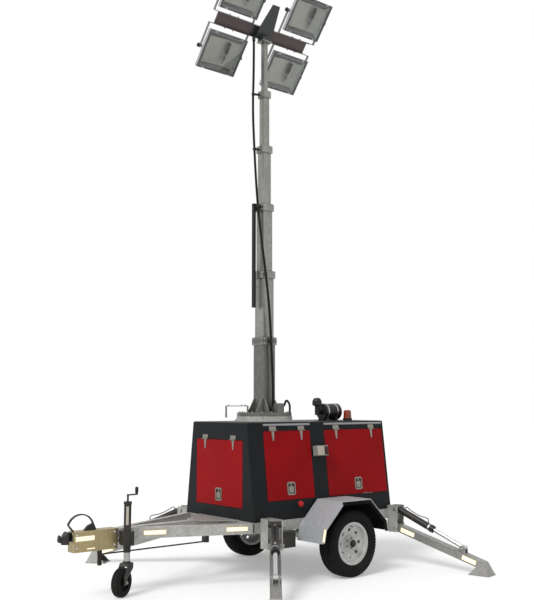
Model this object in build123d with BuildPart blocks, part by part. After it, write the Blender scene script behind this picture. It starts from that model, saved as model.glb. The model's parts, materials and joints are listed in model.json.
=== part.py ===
from build123d import *
import math
import os

os.makedirs("parts", exist_ok=True)

# Mobile light tower on a single axle trailer, in millimetres
# +Z is up, +X is the left side, the coupling points to -Y
# The origin is on the ground under the middle of the whole outline

# Running clearances
RUN_GAP = 5.0            # between pieces that pass each other
FACE_GAP = 0.3           # between faces that slide or nearly meet
PIN_GAP = 0.05           # round a pin, shaft or rod in its bore

# Wheels and axle
TYRE_R = 325.0
TYRE_W = 195.0
BEAD_R = 190.0           # radius of the rim where the tyre sits
RIM_W = 150.0            # over the flanges
FLANGE_R = 205.0
FLANGE_T = 6.0
WHEEL_X = 790.0          # middle of the tyre from the centre line
STUB_R = 20.0
HUB_R = 32.0
HAND_HOLE_R = 17.0
HAND_HOLES = 8
HAND_HOLE_PCD_R = 128.0
DRUM_R = 112.0
DRUM_W = 62.0
AXLE_BEAM = 60.0         # square axle beam

# Chassis frame
CHASSIS_TOP = 574.0
CHASSIS_W = 1150.0       # over the outer faces of the rails
RAIL_H = 100.0
RAIL_W = 50.0
RAIL_WALL = 4.0
CROSS_H = 80.0
CROSS_W = 50.0
SOCKET_R = 55.0          # boss that takes the foot pin of the mast
SOCKET_RISE = 22.0
SOCKET_PLATE = 10.0

# Canopy
CANOPY_AHEAD = 1005.0    # front wall ahead of the axle
CANOPY_BEHIND = 885.0    # rear wall behind the axle
CANOPY_BOTTOM_W = 1134.0
CANOPY_TOP_W = 918.0
CANOPY_TOP = 1505.0
ROOF_SEAM = 1476.0
ROOF_T = 22.0
ROOF_EDGE_R = 34.0
WALL = 25.0
FLOOR_T = 3.0
CORNER_R = 18.0
DOOR_GAP = 6.0
DOOR_CORNER_R = 16.0
HINGE_R = 6.0
HINGE_OUT = HINGE_R + 0.5   # pin from the face of the door
HINGE_LEAF = 34.0
HINGE_LEN = 84.0
HINGE_STRAP_T = 3.0
HINGE_STRAP_LEN = 100.0
HINGE_TIP_R = 8.0        # round end of the tapered strap
LATCH_W = 104.0
LATCH_H = 124.0
LATCH_UP = 112.0         # latch centre above the lower edge of a door
LATCH_BORDER = 13.0      # flat border of the plate round its pan
PAN_DEPTH = 6.0          # pan below the face of the door
PADDLE_W = 58.0
PADDLE_H = 62.0
PADDLE_OUT = 5.0         # paddle above the face of the door
PADDLE_DOWN = 10.0       # paddle below the latch centre

# Mast
MAST_AHEAD = 420.0       # mast axis ahead of the axle
MAST_FOOT = 604.0        # lower end of the outer mast tube
MAST_LEN = 1750.0        # each sliding tube
COLLAR_H = 76.0
COLLAR_OUT = 13.0        # collar beyond the face of its tube
PAD_H = 40.0
SPIGOT_R = 30.0
TURN_R = 285.0
TURN_GAP = 0.3
RING_R = 290.0
RING_IN_R = 232.0
RING_H = 52.0
TURN_H = 38.0
ROOF_HOLE_R = 128.0

# Drawbar and coupling
COUPLING_REACH = 2640.0  # nose of the coupling ahead of the axle
HANDLE_PROUD = 78.0      # coupling handle ahead of the nose
BALL_R = 25.0
BALL_AHEAD = 4.0         # ball cup ahead of the nose
BALL_DOWN = 24.0         # ball cup below the middle line of the beam
CUP_R = 40.0             # round front of the coupling head
HEAD_W = 64.0
HEAD_BACK = 14.0         # back of the coupling head behind the nose
HEAD_LOW = 58.0          # below the middle line of the beam
HEAD_HIGH = 46.0
HANDLE_W = 28.0
BEAM_W = 80.0
BEAM_H = 80.0
DRAW_RAIL_W = 50.0
DRAW_END_BACK = 555.0    # nose to where the side rails meet the centre beam
GUSSET_T = 6.0
HOUSING_BACK = 48.0      # housing behind the nose
HOUSING_LEN = 430.0
HOUSING_FACE_T = 12.0
HOUSING_W = 112.0
HOUSING_T = 5.0
HOUSING_LOW = 402.0
DRAW_TUBE_R = 26.5
DRAW_TUBE_IN = 118.0     # draw tube behind the front of its housing
LEVER_BACK = 225.0       # foot of the brake lever behind the nose
ARCH_BACK = 135.0        # top of its arched grip behind the nose
ARCH_R = 125.0           # half of the arch along the trailer
ARCH_LOW = 62.0          # ends of the arch above the chassis
ARCH_HIGH = 150.0
ARCH_T = 11.0
LEVER_W = 26.0

# Outriggers
LEG_W = 100.0            # leg across
LEG_H = 75.0             # leg between its upper and lower faces
LEG_WALL = 5.0
LEG_REACH = 1018.0       # pivot to the outer end, along the leg
LEG_TAIL = 35.0          # leg behind its pivot
LEG_END_Z = 126.0        # upper corner of the leg's outer end above the ground
LEG_RAISE = 80.0         # degrees of travel
LEG_PIVOT_Z = 385.0
LEG_PIVOT_OUT = 62.0     # pivot from the back plate
CYL_PIVOT_Z = 575.0
PIN_R = 12.0
EYE_R = 24.0
CHEEK_T = 10.0
CHEEK_GAP = 14.0         # from the leg to a cheek, taken up by bosses
BOSS_GAP = 1.5           # from a boss or an eye to a cheek
BOSS_R = 27.0
BRACKET_LOW = 338.0
BRACKET_HIGH = 612.0
BRACKET_WALL = 10.0      # walls of the box that stands a front bracket off its rail
BRACKET_SEAT = 4.0       # least thickness of the wedge between a rail and a bracket
BARREL_R = 36.0
BARREL_COLLAR = 3.0      # collar round the open end of the barrel
ROD_R = 20.0
ROD_SHOWN = 362.5        # rod between the barrel and its eye's middle, at rest
ROD_BACK = 262.0         # rod pin from the outer end of the leg, along the leg
ROD_RISE = 82.0          # rod pin above the middle line of the leg
ROD_OVERLAP = 60.0
LUG_T = 8.0
LUG_GAP = 48.0
FOOT_L = 220.0
FOOT_W = 176.0
FOOT_T = 8.0
FOOT_AHEAD = 62.0        # foot beyond the outer end of the leg
FOOT_RIM = 8.0           # foot beyond the shroud that stands on it
SHROUD_T = 5.0
SHROUD_TOP = 46.0        # upper edge of the shroud, along the leg
FOOT_CORNER_R = 12.0

# Side, place of the pivot behind the axle, splay in degrees towards the rear, stand off the rail
OUTRIGGERS = [
    ("front_left", 1, -880.0, -39.5, 88.0),
    ("front_right", -1, -880.0, -39.5, 88.0),
    ("rear_left", 1, 880.0, 12.0, 0.0),
    ("rear_right", -1, 880.0, 12.0, 0.0),
]

# The leg slopes so far that its outer end comes down to its height above the ground
slope = (math.atan(LEG_H / 2 / LEG_REACH)
         + math.asin((LEG_PIVOT_Z - LEG_END_Z) / math.hypot(LEG_REACH, LEG_H / 2)))

leg_pivot = (LEG_PIVOT_OUT, LEG_PIVOT_Z)


def leg_point(along, rise):
    """A point of the leg at rest, from its pivot along and above its middle line."""
    return (leg_pivot[0] + along * math.cos(slope) + rise * math.sin(slope),
            leg_pivot[1] - along * math.sin(slope) + rise * math.cos(slope))


def leg_at_reach(rise, reach):
    """Where a line of the leg, above its middle line by rise, comes out to a reach from the bracket's plate."""
    return leg_point((reach - leg_pivot[0] - rise * math.sin(slope)) / math.cos(slope), rise)


LEG_END = leg_point(LEG_REACH, LEG_H / 2)
LEG_TOE = leg_at_reach(-LEG_H / 2, LEG_END[0])
FOOT_MIDDLE = LEG_END[0] + FOOT_AHEAD - FOOT_L / 2

# The wheel axle stands behind the middle by half the difference of the reaches
splay_rear = math.radians(OUTRIGGERS[2][3])
REAR_REACH = (OUTRIGGERS[2][2] + (FOOT_MIDDLE + FOOT_L / 2 - FOOT_CORNER_R) * math.sin(splay_rear)
              + (FOOT_W / 2 - FOOT_CORNER_R) * math.cos(splay_rear) + FOOT_CORNER_R)
AXLE_Y = (COUPLING_REACH + HANDLE_PROUD - REAR_REACH) / 2

CANOPY_FRONT = AXLE_Y - CANOPY_AHEAD
CANOPY_REAR = AXLE_Y + CANOPY_BEHIND
CANOPY_LEN = CANOPY_REAR - CANOPY_FRONT
MAST_Y = AXLE_Y - MAST_AHEAD
NOSE_Y = AXLE_Y - COUPLING_REACH
RAIL_LOW = CHASSIS_TOP - RAIL_H
RAIL_FACE = CHASSIS_W / 2
FLOOR_TOP = CHASSIS_TOP + FLOOR_T


def save(piece, name):
    """Label a finished sub-part and write its STEP file."""
    piece.label = name
    export_step(piece, f"parts/{name}.step")


def canopy_half(z):
    """Half the width of the canopy at a height."""
    share = (z - CHASSIS_TOP) / (CANOPY_TOP - CHASSIS_TOP)
    return (CANOPY_BOTTOM_W + (CANOPY_TOP_W - CANOPY_BOTTOM_W) * share) / 2


LEAN = math.atan((CANOPY_BOTTOM_W - CANOPY_TOP_W) / 2 / (CANOPY_TOP - CHASSIS_TOP))


def side_plane(side):
    """The outer face of a canopy side: x along the trailer, y up the wall."""
    return Plane(origin=(side * CANOPY_BOTTOM_W / 2, 0, CHASSIS_TOP),
                 x_dir=(0, side, 0),
                 z_dir=(side * math.cos(LEAN), 0, math.sin(LEAN)))


FRONT_PLANE = Plane(origin=(0, CANOPY_FRONT, CHASSIS_TOP), x_dir=(1, 0, 0), z_dir=(0, -1, 0))

# Doors: name, plane, middle across, lower edge and upper edge up the wall, width
LEFT_PLANE = side_plane(1)
RIGHT_PLANE = side_plane(-1)
DOOR_LOW = 178.0
DOOR_HIGH = 856.0
FRONT_DOOR_MID = AXLE_Y - 515.0
FRONT_DOOR_LEN = 620.0
REAR_DOOR_MID = AXLE_Y + 418.0
REAR_DOOR_LEN = 870.0
DOORS = [
    ("door_front", FRONT_PLANE, 0.0, 112.0, 762.0, 772.0),
    ("door_left_front", LEFT_PLANE, FRONT_DOOR_MID, DOOR_LOW, DOOR_HIGH, FRONT_DOOR_LEN),
    ("door_left_rear", LEFT_PLANE, REAR_DOOR_MID, DOOR_LOW, DOOR_HIGH, REAR_DOOR_LEN),
    ("door_right_front", RIGHT_PLANE, -FRONT_DOOR_MID, DOOR_LOW, DOOR_HIGH, FRONT_DOOR_LEN),
    ("door_right_rear", RIGHT_PLANE, -REAR_DOOR_MID, DOOR_LOW, DOOR_HIGH, REAR_DOOR_LEN),
]

# Chassis frame: two rails, cross tubes and the socket for the mast foot
CROSS_YS = [
    CANOPY_FRONT + CROSS_W / 2,
    MAST_Y - 130.0,
    MAST_Y + 130.0,
    AXLE_Y + 240.0,
    CANOPY_REAR - CROSS_W / 2,
]
CROSS_LEN = CHASSIS_W - 2 * RAIL_W
with BuildPart() as chassis_frame:
    with BuildSketch(Plane.XZ.offset(-CANOPY_REAR)):
        with Locations((RAIL_FACE - RAIL_W / 2, CHASSIS_TOP - RAIL_H / 2),
                       (-RAIL_FACE + RAIL_W / 2, CHASSIS_TOP - RAIL_H / 2)):
            Rectangle(RAIL_W, RAIL_H)
            Rectangle(RAIL_W - 2 * RAIL_WALL, RAIL_H - 2 * RAIL_WALL, mode=Mode.SUBTRACT)
    extrude(amount=CANOPY_LEN)
    with BuildSketch(Plane.YZ.offset(-CROSS_LEN / 2)):
        with Locations(*[(y, CHASSIS_TOP - CROSS_H / 2) for y in CROSS_YS]):
            Rectangle(CROSS_W, CROSS_H)
            Rectangle(CROSS_W - 2 * RAIL_WALL, CROSS_H - 2 * RAIL_WALL, mode=Mode.SUBTRACT)
    extrude(amount=CROSS_LEN)
    with BuildSketch(Plane.XY.offset(CHASSIS_TOP - SOCKET_PLATE)):
        with Locations((0, MAST_Y)):
            Rectangle(300, 260 - CROSS_W)
    extrude(amount=SOCKET_PLATE)
    with BuildSketch(Plane.XY.offset(CHASSIS_TOP - SOCKET_PLATE)):
        with Locations((0, MAST_Y)):
            Circle(SOCKET_R)
    extrude(amount=SOCKET_PLATE + SOCKET_RISE)
    with Locations((0, MAST_Y, CHASSIS_TOP)):
        Cylinder(SPIGOT_R + PIN_GAP, 4 * SOCKET_PLATE + 2 * SOCKET_RISE, mode=Mode.SUBTRACT)
save(chassis_frame.part, "chassis_frame")


# Drawbar: two side rails that meet a centre beam, with a gusset plate on top
DRAW_START = (RAIL_FACE - 55.0, CANOPY_FRONT)
DRAW_END = (BEAM_W / 2, NOSE_Y + DRAW_END_BACK)


def draw_edge(side_shift):
    """Both ends of a drawbar rail's edge, shifted sideways from its middle line."""
    run_x = DRAW_END[0] - DRAW_START[0]
    run_y = DRAW_END[1] - DRAW_START[1]
    across = side_shift * math.hypot(run_x, run_y) / abs(run_y)
    along = side_shift * math.hypot(run_x, run_y) / abs(run_x)
    start = (DRAW_START[0] + across, DRAW_START[1])
    end = (DRAW_END[0], DRAW_END[1] - along)
    return start, end


def draw_outline(half):
    """The plan of one drawbar rail, half as wide each way as told."""
    outer_start, outer_end = draw_edge(half)
    inner_start, inner_end = draw_edge(-half)
    return [outer_start, outer_end, inner_end, inner_start]


def draw_outer(y):
    """Where the outer face of the left drawbar rail lies at a place along the trailer."""
    start, end = draw_edge(DRAW_RAIL_W / 2)
    return end[0] + (start[0] - end[0]) * (y - end[1]) / (start[1] - end[1])


with BuildPart() as drawbar_rails:
    with BuildSketch(Plane.XY.offset(RAIL_LOW)):
        with BuildLine():
            Polyline(*draw_outline(DRAW_RAIL_W / 2), close=True)
        make_face()
    extrude(amount=RAIL_H)
    with BuildSketch(Plane.XY.offset(RAIL_LOW + RAIL_WALL)):
        with BuildLine():
            Polyline(*draw_outline(DRAW_RAIL_W / 2 - RAIL_WALL), close=True)
        make_face()
    extrude(amount=RAIL_H - 2 * RAIL_WALL, mode=Mode.SUBTRACT)
    mirror(about=Plane.YZ)
save(drawbar_rails.part, "drawbar_rails")

BEAM_FRONT = NOSE_Y + 150.0
with BuildPart() as drawbar_beam:
    with BuildSketch(Plane.XZ.offset(-CANOPY_FRONT)):
        with Locations((0, CHASSIS_TOP - BEAM_H / 2)):
            Rectangle(BEAM_W, BEAM_H)
            Rectangle(BEAM_W - 2 * RAIL_WALL, BEAM_H - 2 * RAIL_WALL, mode=Mode.SUBTRACT)
    extrude(amount=CANOPY_FRONT - BEAM_FRONT)
    with BuildSketch(Plane.XY.offset(CHASSIS_TOP)):
        with BuildLine():
            Polyline((-330, CANOPY_FRONT), (330, CANOPY_FRONT), (70, CANOPY_FRONT - 330),
                     (-70, CANOPY_FRONT - 330), close=True)
        make_face()
    extrude(amount=GUSSET_T)
save(drawbar_beam.part, "drawbar_beam")

# Coupling housing: a folded channel round the end of the centre beam
HOUSING_FRONT = NOSE_Y + HOUSING_BACK
HOUSING_REAR = HOUSING_FRONT + HOUSING_LEN
HOUSING_IN = BEAM_W / 2 + FACE_GAP
HEAD_Z = CHASSIS_TOP - BEAM_H / 2
with BuildPart() as coupling_housing:
    with BuildSketch(Plane.XZ.offset(-HOUSING_REAR)):
        with BuildLine():
            Polyline((-HOUSING_W / 2, HOUSING_LOW), (-HOUSING_W / 2, CHASSIS_TOP + HOUSING_T),
                     (HOUSING_W / 2, CHASSIS_TOP + HOUSING_T), (HOUSING_W / 2, HOUSING_LOW),
                     (HOUSING_IN, HOUSING_LOW), (HOUSING_IN, CHASSIS_TOP),
                     (-HOUSING_IN, CHASSIS_TOP), (-HOUSING_IN, HOUSING_LOW), close=True)
        make_face()
    extrude(amount=HOUSING_LEN)
    with BuildSketch(Plane.XZ.offset(-HOUSING_FRONT - HOUSING_FACE_T)):
        with Locations((0, (HOUSING_LOW + CHASSIS_TOP + HOUSING_T) / 2)):
            Rectangle(HOUSING_W, CHASSIS_TOP + HOUSING_T - HOUSING_LOW)
        with Locations((0, HEAD_Z)):
            Circle(DRAW_TUBE_R + FACE_GAP, mode=Mode.SUBTRACT)
    extrude(amount=HOUSING_FACE_T)
save(coupling_housing.part, "coupling_housing")

# Coupling head: a cast cup that slopes down to its nose, its draw tube, and a handle with an upturned end
BALL_Y = NOSE_Y - BALL_AHEAD
BALL_Z = HEAD_Z - BALL_DOWN
HEAD_REAR = NOSE_Y + HEAD_BACK
CUP_NOSE = BALL_Y - CUP_R
HANDLE_END = NOSE_Y - HANDLE_PROUD
with BuildPart() as coupling_head:
    with BuildSketch(Plane.XY.offset(HEAD_Z - HEAD_LOW)):
        with Locations((0, BALL_Y)):
            Circle(CUP_R)
        with Locations((0, (BALL_Y + HEAD_REAR) / 2)):
            Rectangle(HEAD_W, HEAD_REAR - BALL_Y)
    extrude(amount=HEAD_LOW + HEAD_HIGH)
    with BuildSketch(Plane.YZ):
        with BuildLine():
            Polyline((HEAD_REAR, HEAD_Z - HEAD_LOW), (CUP_NOSE, HEAD_Z - HEAD_LOW), (CUP_NOSE, BALL_Z + CUP_R / 2),
                     (NOSE_Y, HEAD_Z + HEAD_HIGH), (HEAD_REAR, HEAD_Z + HEAD_HIGH), close=True)
        make_face()
    extrude(amount=CUP_R, both=True, mode=Mode.INTERSECT)
    with BuildSketch(Plane.YZ):
        with BuildLine():
            Polyline((NOSE_Y, HEAD_Z + HEAD_HIGH - 4), (CUP_NOSE - 6, BALL_Z + 22), (CUP_NOSE - 16, BALL_Z + 48),
                     (HANDLE_END + 8, BALL_Z + 46), (HANDLE_END, BALL_Z + 8), (HANDLE_END + 8, BALL_Z - 14),
                     (CUP_NOSE + 8, BALL_Z - 22), (NOSE_Y, BALL_Z), close=True)
        make_face()
    extrude(amount=HANDLE_W / 2, both=True)
    with BuildSketch(Plane.XZ.offset(-HOUSING_FRONT - DRAW_TUBE_IN)):
        with Locations((0, HEAD_Z)):
            Circle(DRAW_TUBE_R)
    extrude(amount=HOUSING_FRONT + DRAW_TUBE_IN - HEAD_REAR)
    with Locations((0, BALL_Y, BALL_Z)):
        Sphere(BALL_R, mode=Mode.SUBTRACT)
    with BuildSketch(Plane.XY.offset(HEAD_Z - HEAD_LOW)):
        with Locations((0, BALL_Y)):
            Circle(BALL_R)
    extrude(amount=BALL_Z - HEAD_Z + HEAD_LOW, mode=Mode.SUBTRACT)
save(coupling_head.part, "coupling_head")

# Brake linkage: arched hand lever, its quadrant, the relay lever and the brake rod
LEVER_Y = NOSE_Y + LEVER_BACK
ARCH_Y = NOSE_Y + ARCH_BACK
ARCH_REAR = ARCH_Y + ARCH_R
ARCH_FRONT = ARCH_Y - ARCH_R
ARCH_Z = CHASSIS_TOP + ARCH_LOW
HOUSING_TOP = CHASSIS_TOP + HOUSING_T
RELAY_Y = NOSE_Y + 330.0
RELAY_LOW = 262.0
ROD_END_Y = CANOPY_FRONT - 175.0
BRAKE_ROD_Z = 358.0
BRAKE_ROD_R = 7.0
ROD_BRACKET_W = 60.0
ROD_BRACKET_L = 44.0
with BuildPart() as brake_linkage:
    with BuildSketch(Plane.YZ):
        with BuildLine():
            ThreePointArc((ARCH_FRONT, ARCH_Z), (ARCH_Y, CHASSIS_TOP + ARCH_HIGH), (ARCH_REAR, ARCH_Z))
            Line((ARCH_REAR, ARCH_Z), (ARCH_REAR - ARCH_T, ARCH_Z))
            ThreePointArc((ARCH_REAR - ARCH_T, ARCH_Z), (ARCH_Y, CHASSIS_TOP + ARCH_HIGH - ARCH_T),
                          (ARCH_FRONT + ARCH_T, ARCH_Z))
            Line((ARCH_FRONT + ARCH_T, ARCH_Z), (ARCH_FRONT, ARCH_Z))
        make_face()
        with BuildLine():
            Polyline((LEVER_Y - 60, HOUSING_TOP), (LEVER_Y - 22, HOUSING_TOP + 40), (ARCH_REAR - ARCH_T, ARCH_Z),
                     (ARCH_REAR, ARCH_Z), (LEVER_Y + 62, HOUSING_TOP), close=True)
        make_face()
        with BuildLine():
            Polyline((ARCH_FRONT, ARCH_Z), (ARCH_FRONT + ARCH_T, ARCH_Z), (HOUSING_FRONT + 24, HOUSING_TOP),
                     (HOUSING_FRONT + 6, HOUSING_TOP), close=True)
        make_face()
    extrude(amount=LEVER_W / 2, both=True)
    with BuildSketch(Plane.YZ.offset(-6)):
        with BuildLine():
            Polyline((RELAY_Y - 18, RELAY_LOW), (RELAY_Y + 18, RELAY_LOW), (RELAY_Y + 24, CHASSIS_TOP - BEAM_H),
                     (RELAY_Y - 24, CHASSIS_TOP - BEAM_H), close=True)
        make_face()
    extrude(amount=12)
    with BuildSketch(Plane.XZ.offset(-ROD_END_Y)):
        with Locations((0, BRAKE_ROD_Z)):
            Circle(BRAKE_ROD_R)
    extrude(amount=ROD_END_Y - RELAY_Y)
    with BuildSketch(Plane.XY.offset(BRAKE_ROD_Z - BRAKE_ROD_R)):
        with Locations((0, ROD_END_Y + ROD_BRACKET_L / 2 - 2)):
            Rectangle(ROD_BRACKET_W, ROD_BRACKET_L)
    extrude(amount=CHASSIS_TOP - BEAM_H - BRAKE_ROD_Z + BRAKE_ROD_R)
save(brake_linkage.part, "brake_linkage")

# Axle beam with its stub axles, and the leaf springs that hang it on the rails
STUB_END = WHEEL_X + 30.0
DRUM_IN = WHEEL_X - RIM_W / 2 + 8.0
AXLE_END = DRUM_IN - 8.0
with BuildPart() as axle_beam:
    with BuildSketch(Plane.YZ.offset(-AXLE_END)):
        with Locations((AXLE_Y, TYRE_R)):
            Rectangle(AXLE_BEAM, AXLE_BEAM)
            Rectangle(AXLE_BEAM - 12, AXLE_BEAM - 12, mode=Mode.SUBTRACT)
    extrude(amount=2 * AXLE_END)
    for side in (-1, 1):
        with BuildSketch(Plane.YZ.offset(side * (AXLE_END - 40))):
            with Locations((AXLE_Y, TYRE_R)):
                Circle(STUB_R)
        extrude(amount=side * (STUB_END - AXLE_END + 40))
        with BuildSketch(Plane.YZ.offset(side * AXLE_END)):
            with Locations((AXLE_Y, TYRE_R)):
                Rectangle(AXLE_BEAM, AXLE_BEAM)
        extrude(amount=-side * 10)
save(axle_beam.part, "axle_beam")

SPRING_X = RAIL_FACE - RAIL_W / 2
EYE_Z = RAIL_LOW - 34.0
PAD_TOP = TYRE_R + AXLE_BEAM / 2
SPRING_HALF = 400.0
LEAF_T = 8.0
# Leaves: half length, rise of the ends above the pad
LEAVES = [(SPRING_HALF, EYE_Z - 16.0 - PAD_TOP), (250.0, 22.0), (130.0, 5.0)]
with BuildPart() as leaf_springs:
    with BuildSketch(Plane.YZ.offset(SPRING_X - 24)):
        for count, (half, rise) in enumerate(LEAVES):
            low = PAD_TOP + 8 + LEAF_T * (len(LEAVES) - 1 - count)
            with BuildLine():
                lower = ThreePointArc((AXLE_Y - half, low + rise), (AXLE_Y, low), (AXLE_Y + half, low + rise))
                upper = ThreePointArc((AXLE_Y - half, low + rise + LEAF_T), (AXLE_Y, low + LEAF_T),
                                      (AXLE_Y + half, low + rise + LEAF_T))
                Line(lower @ 0, upper @ 0)
                Line(lower @ 1, upper @ 1)
            make_face()
        with Locations((AXLE_Y, PAD_TOP + 20)):
            Rectangle(120, 40)
    extrude(amount=48)
    with BuildSketch(Plane.YZ.offset(SPRING_X - RAIL_W / 2)):
        for end in (-1, 1):
            with BuildLine():
                Polyline((AXLE_Y + end * (SPRING_HALF - 45), RAIL_LOW),
                         (AXLE_Y + end * (SPRING_HALF + 65), RAIL_LOW),
                         (AXLE_Y + end * (SPRING_HALF + 22), EYE_Z - 22),
                         (AXLE_Y + end * (SPRING_HALF - 18), EYE_Z - 22), close=True)
            make_face()
    extrude(amount=RAIL_W)
    mirror(about=Plane.YZ)
save(leaf_springs.part, "leaf_springs")

# Wheels: a steel rim with its drum, and a road tyre
for side, name in ((1, "left"), (-1, "right")):
    wheel_plane = Plane(origin=(side * WHEEL_X, AXLE_Y, TYRE_R), x_dir=(side, 0, 0), z_dir=(0, -side, 0))
    wheel_axis = Axis((0, AXLE_Y, TYRE_R), (1, 0, 0))
    seat = RIM_W / 2 - FLANGE_T - FACE_GAP
    crown = TYRE_W / 2
    with BuildPart() as tyre:
        with BuildSketch(wheel_plane):
            with BuildLine():
                Line((-seat, BEAD_R + FACE_GAP), (seat, BEAD_R + FACE_GAP))
                Line((seat, BEAD_R + FACE_GAP), (seat, FLANGE_R + 3))
                ThreePointArc((seat, FLANGE_R + 3), (crown, (FLANGE_R + TYRE_R) / 2 - 4),
                              (crown - 12, TYRE_R - 24))
                ThreePointArc((crown - 12, TYRE_R - 24), (crown - 19, TYRE_R - 9), (crown - 34, TYRE_R - 3))
                ThreePointArc((crown - 34, TYRE_R - 3), (0, TYRE_R), (34 - crown, TYRE_R - 3))
                ThreePointArc((34 - crown, TYRE_R - 3), (19 - crown, TYRE_R - 9), (12 - crown, TYRE_R - 24))
                ThreePointArc((12 - crown, TYRE_R - 24), (-crown, (FLANGE_R + TYRE_R) / 2 - 4),
                              (-seat, FLANGE_R + 3))
                Line((-seat, FLANGE_R + 3), (-seat, BEAD_R + FACE_GAP))
            make_face()
        revolve(axis=wheel_axis)
    save(tyre.part, f"tyre_{name}")
    with BuildPart() as rim:
        with BuildSketch(wheel_plane):
            with BuildLine():
                Polyline((-RIM_W / 2, FLANGE_R), (-RIM_W / 2 + FLANGE_T, FLANGE_R),
                         (-RIM_W / 2 + FLANGE_T, BEAD_R), (RIM_W / 2 - FLANGE_T, BEAD_R),
                         (RIM_W / 2 - FLANGE_T, FLANGE_R), (RIM_W / 2, FLANGE_R),
                         (RIM_W / 2, BEAD_R - 8), (34, BEAD_R - 8), (30, 158), (12, 100), (14, 78),
                         (28, 70), (28, HUB_R), (66, HUB_R - 4), (66, 0), (34, 0),
                         (34, STUB_R + PIN_GAP), (8 - RIM_W / 2, STUB_R + PIN_GAP),
                         (8 - RIM_W / 2, DRUM_R), (8 - RIM_W / 2 + DRUM_W, DRUM_R),
                         (8, 104), (22, 160), (20, BEAD_R - 8), (-RIM_W / 2, BEAD_R - 8), close=True)
            make_face()
        revolve(axis=wheel_axis)
        with BuildSketch(Plane.YZ.offset(side * (WHEEL_X + 40))):
            with Locations((AXLE_Y, TYRE_R)):
                with PolarLocations(HAND_HOLE_PCD_R, HAND_HOLES):
                    Circle(HAND_HOLE_R)
        extrude(amount=-side * 40, mode=Mode.SUBTRACT)
    save(rim.part, f"rim_{name}")

# Fenders: a folded sheet arch with an outer skirt flange and an inner web on the rail
FENDER_T = 3.0
FENDER_OUT = 920.0
SKIRT = 40.0
# Along the trailer from the axle, height
FENDER_LINE = [(-475.0, 372.0), (-445.0, 512.0), (-205.0, 745.0), (195.0, 745.0), (425.0, 520.0),
               (445.0, 420.0)]
fender_points = [(AXLE_Y + y, z) for y, z in FENDER_LINE]
with BuildPart() as fenders:
    with BuildSketch(Plane.YZ.offset(RAIL_FACE)):
        with BuildLine():
            Polyline(*fender_points)
        trace(line_width=FENDER_T)
    extrude(amount=FENDER_OUT - RAIL_FACE)
    with BuildSketch(Plane.YZ.offset(FENDER_OUT - FENDER_T)):
        with BuildLine():
            Polyline(*fender_points, close=True)
        make_face()
        with BuildLine():
            Polyline(*fender_points)
        trace(line_width=2 * SKIRT, mode=Mode.INTERSECT)
    extrude(amount=FENDER_T)
    with BuildSketch(Plane.YZ.offset(RAIL_FACE)):
        with BuildLine():
            Polyline((AXLE_Y - 410, RAIL_LOW), (AXLE_Y - 410, 546), *fender_points[2:4],
                     (AXLE_Y + 400, 544), (AXLE_Y + 400, RAIL_LOW), close=True)
        make_face()
    extrude(amount=FENDER_T)
    mirror(about=Plane.YZ)
save(fenders.part, "fenders")

# Canopy frame: floor, walls with door openings, hinge leaves and a rear louvre
LOUVRE_W = 640.0
LOUVRE_LOW = 700.0
LOUVRE_HIGH = 1330.0
LOUVRE_PITCH = 52.0
BLADE_T = 3.0


def hinge_spots(door):
    """The two hinge places of a door, across its plane, and the height of the pin."""
    name, plane, middle, low, high, width = door
    return [(middle - width * 0.3, high), (middle + width * 0.3, high)]


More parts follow.
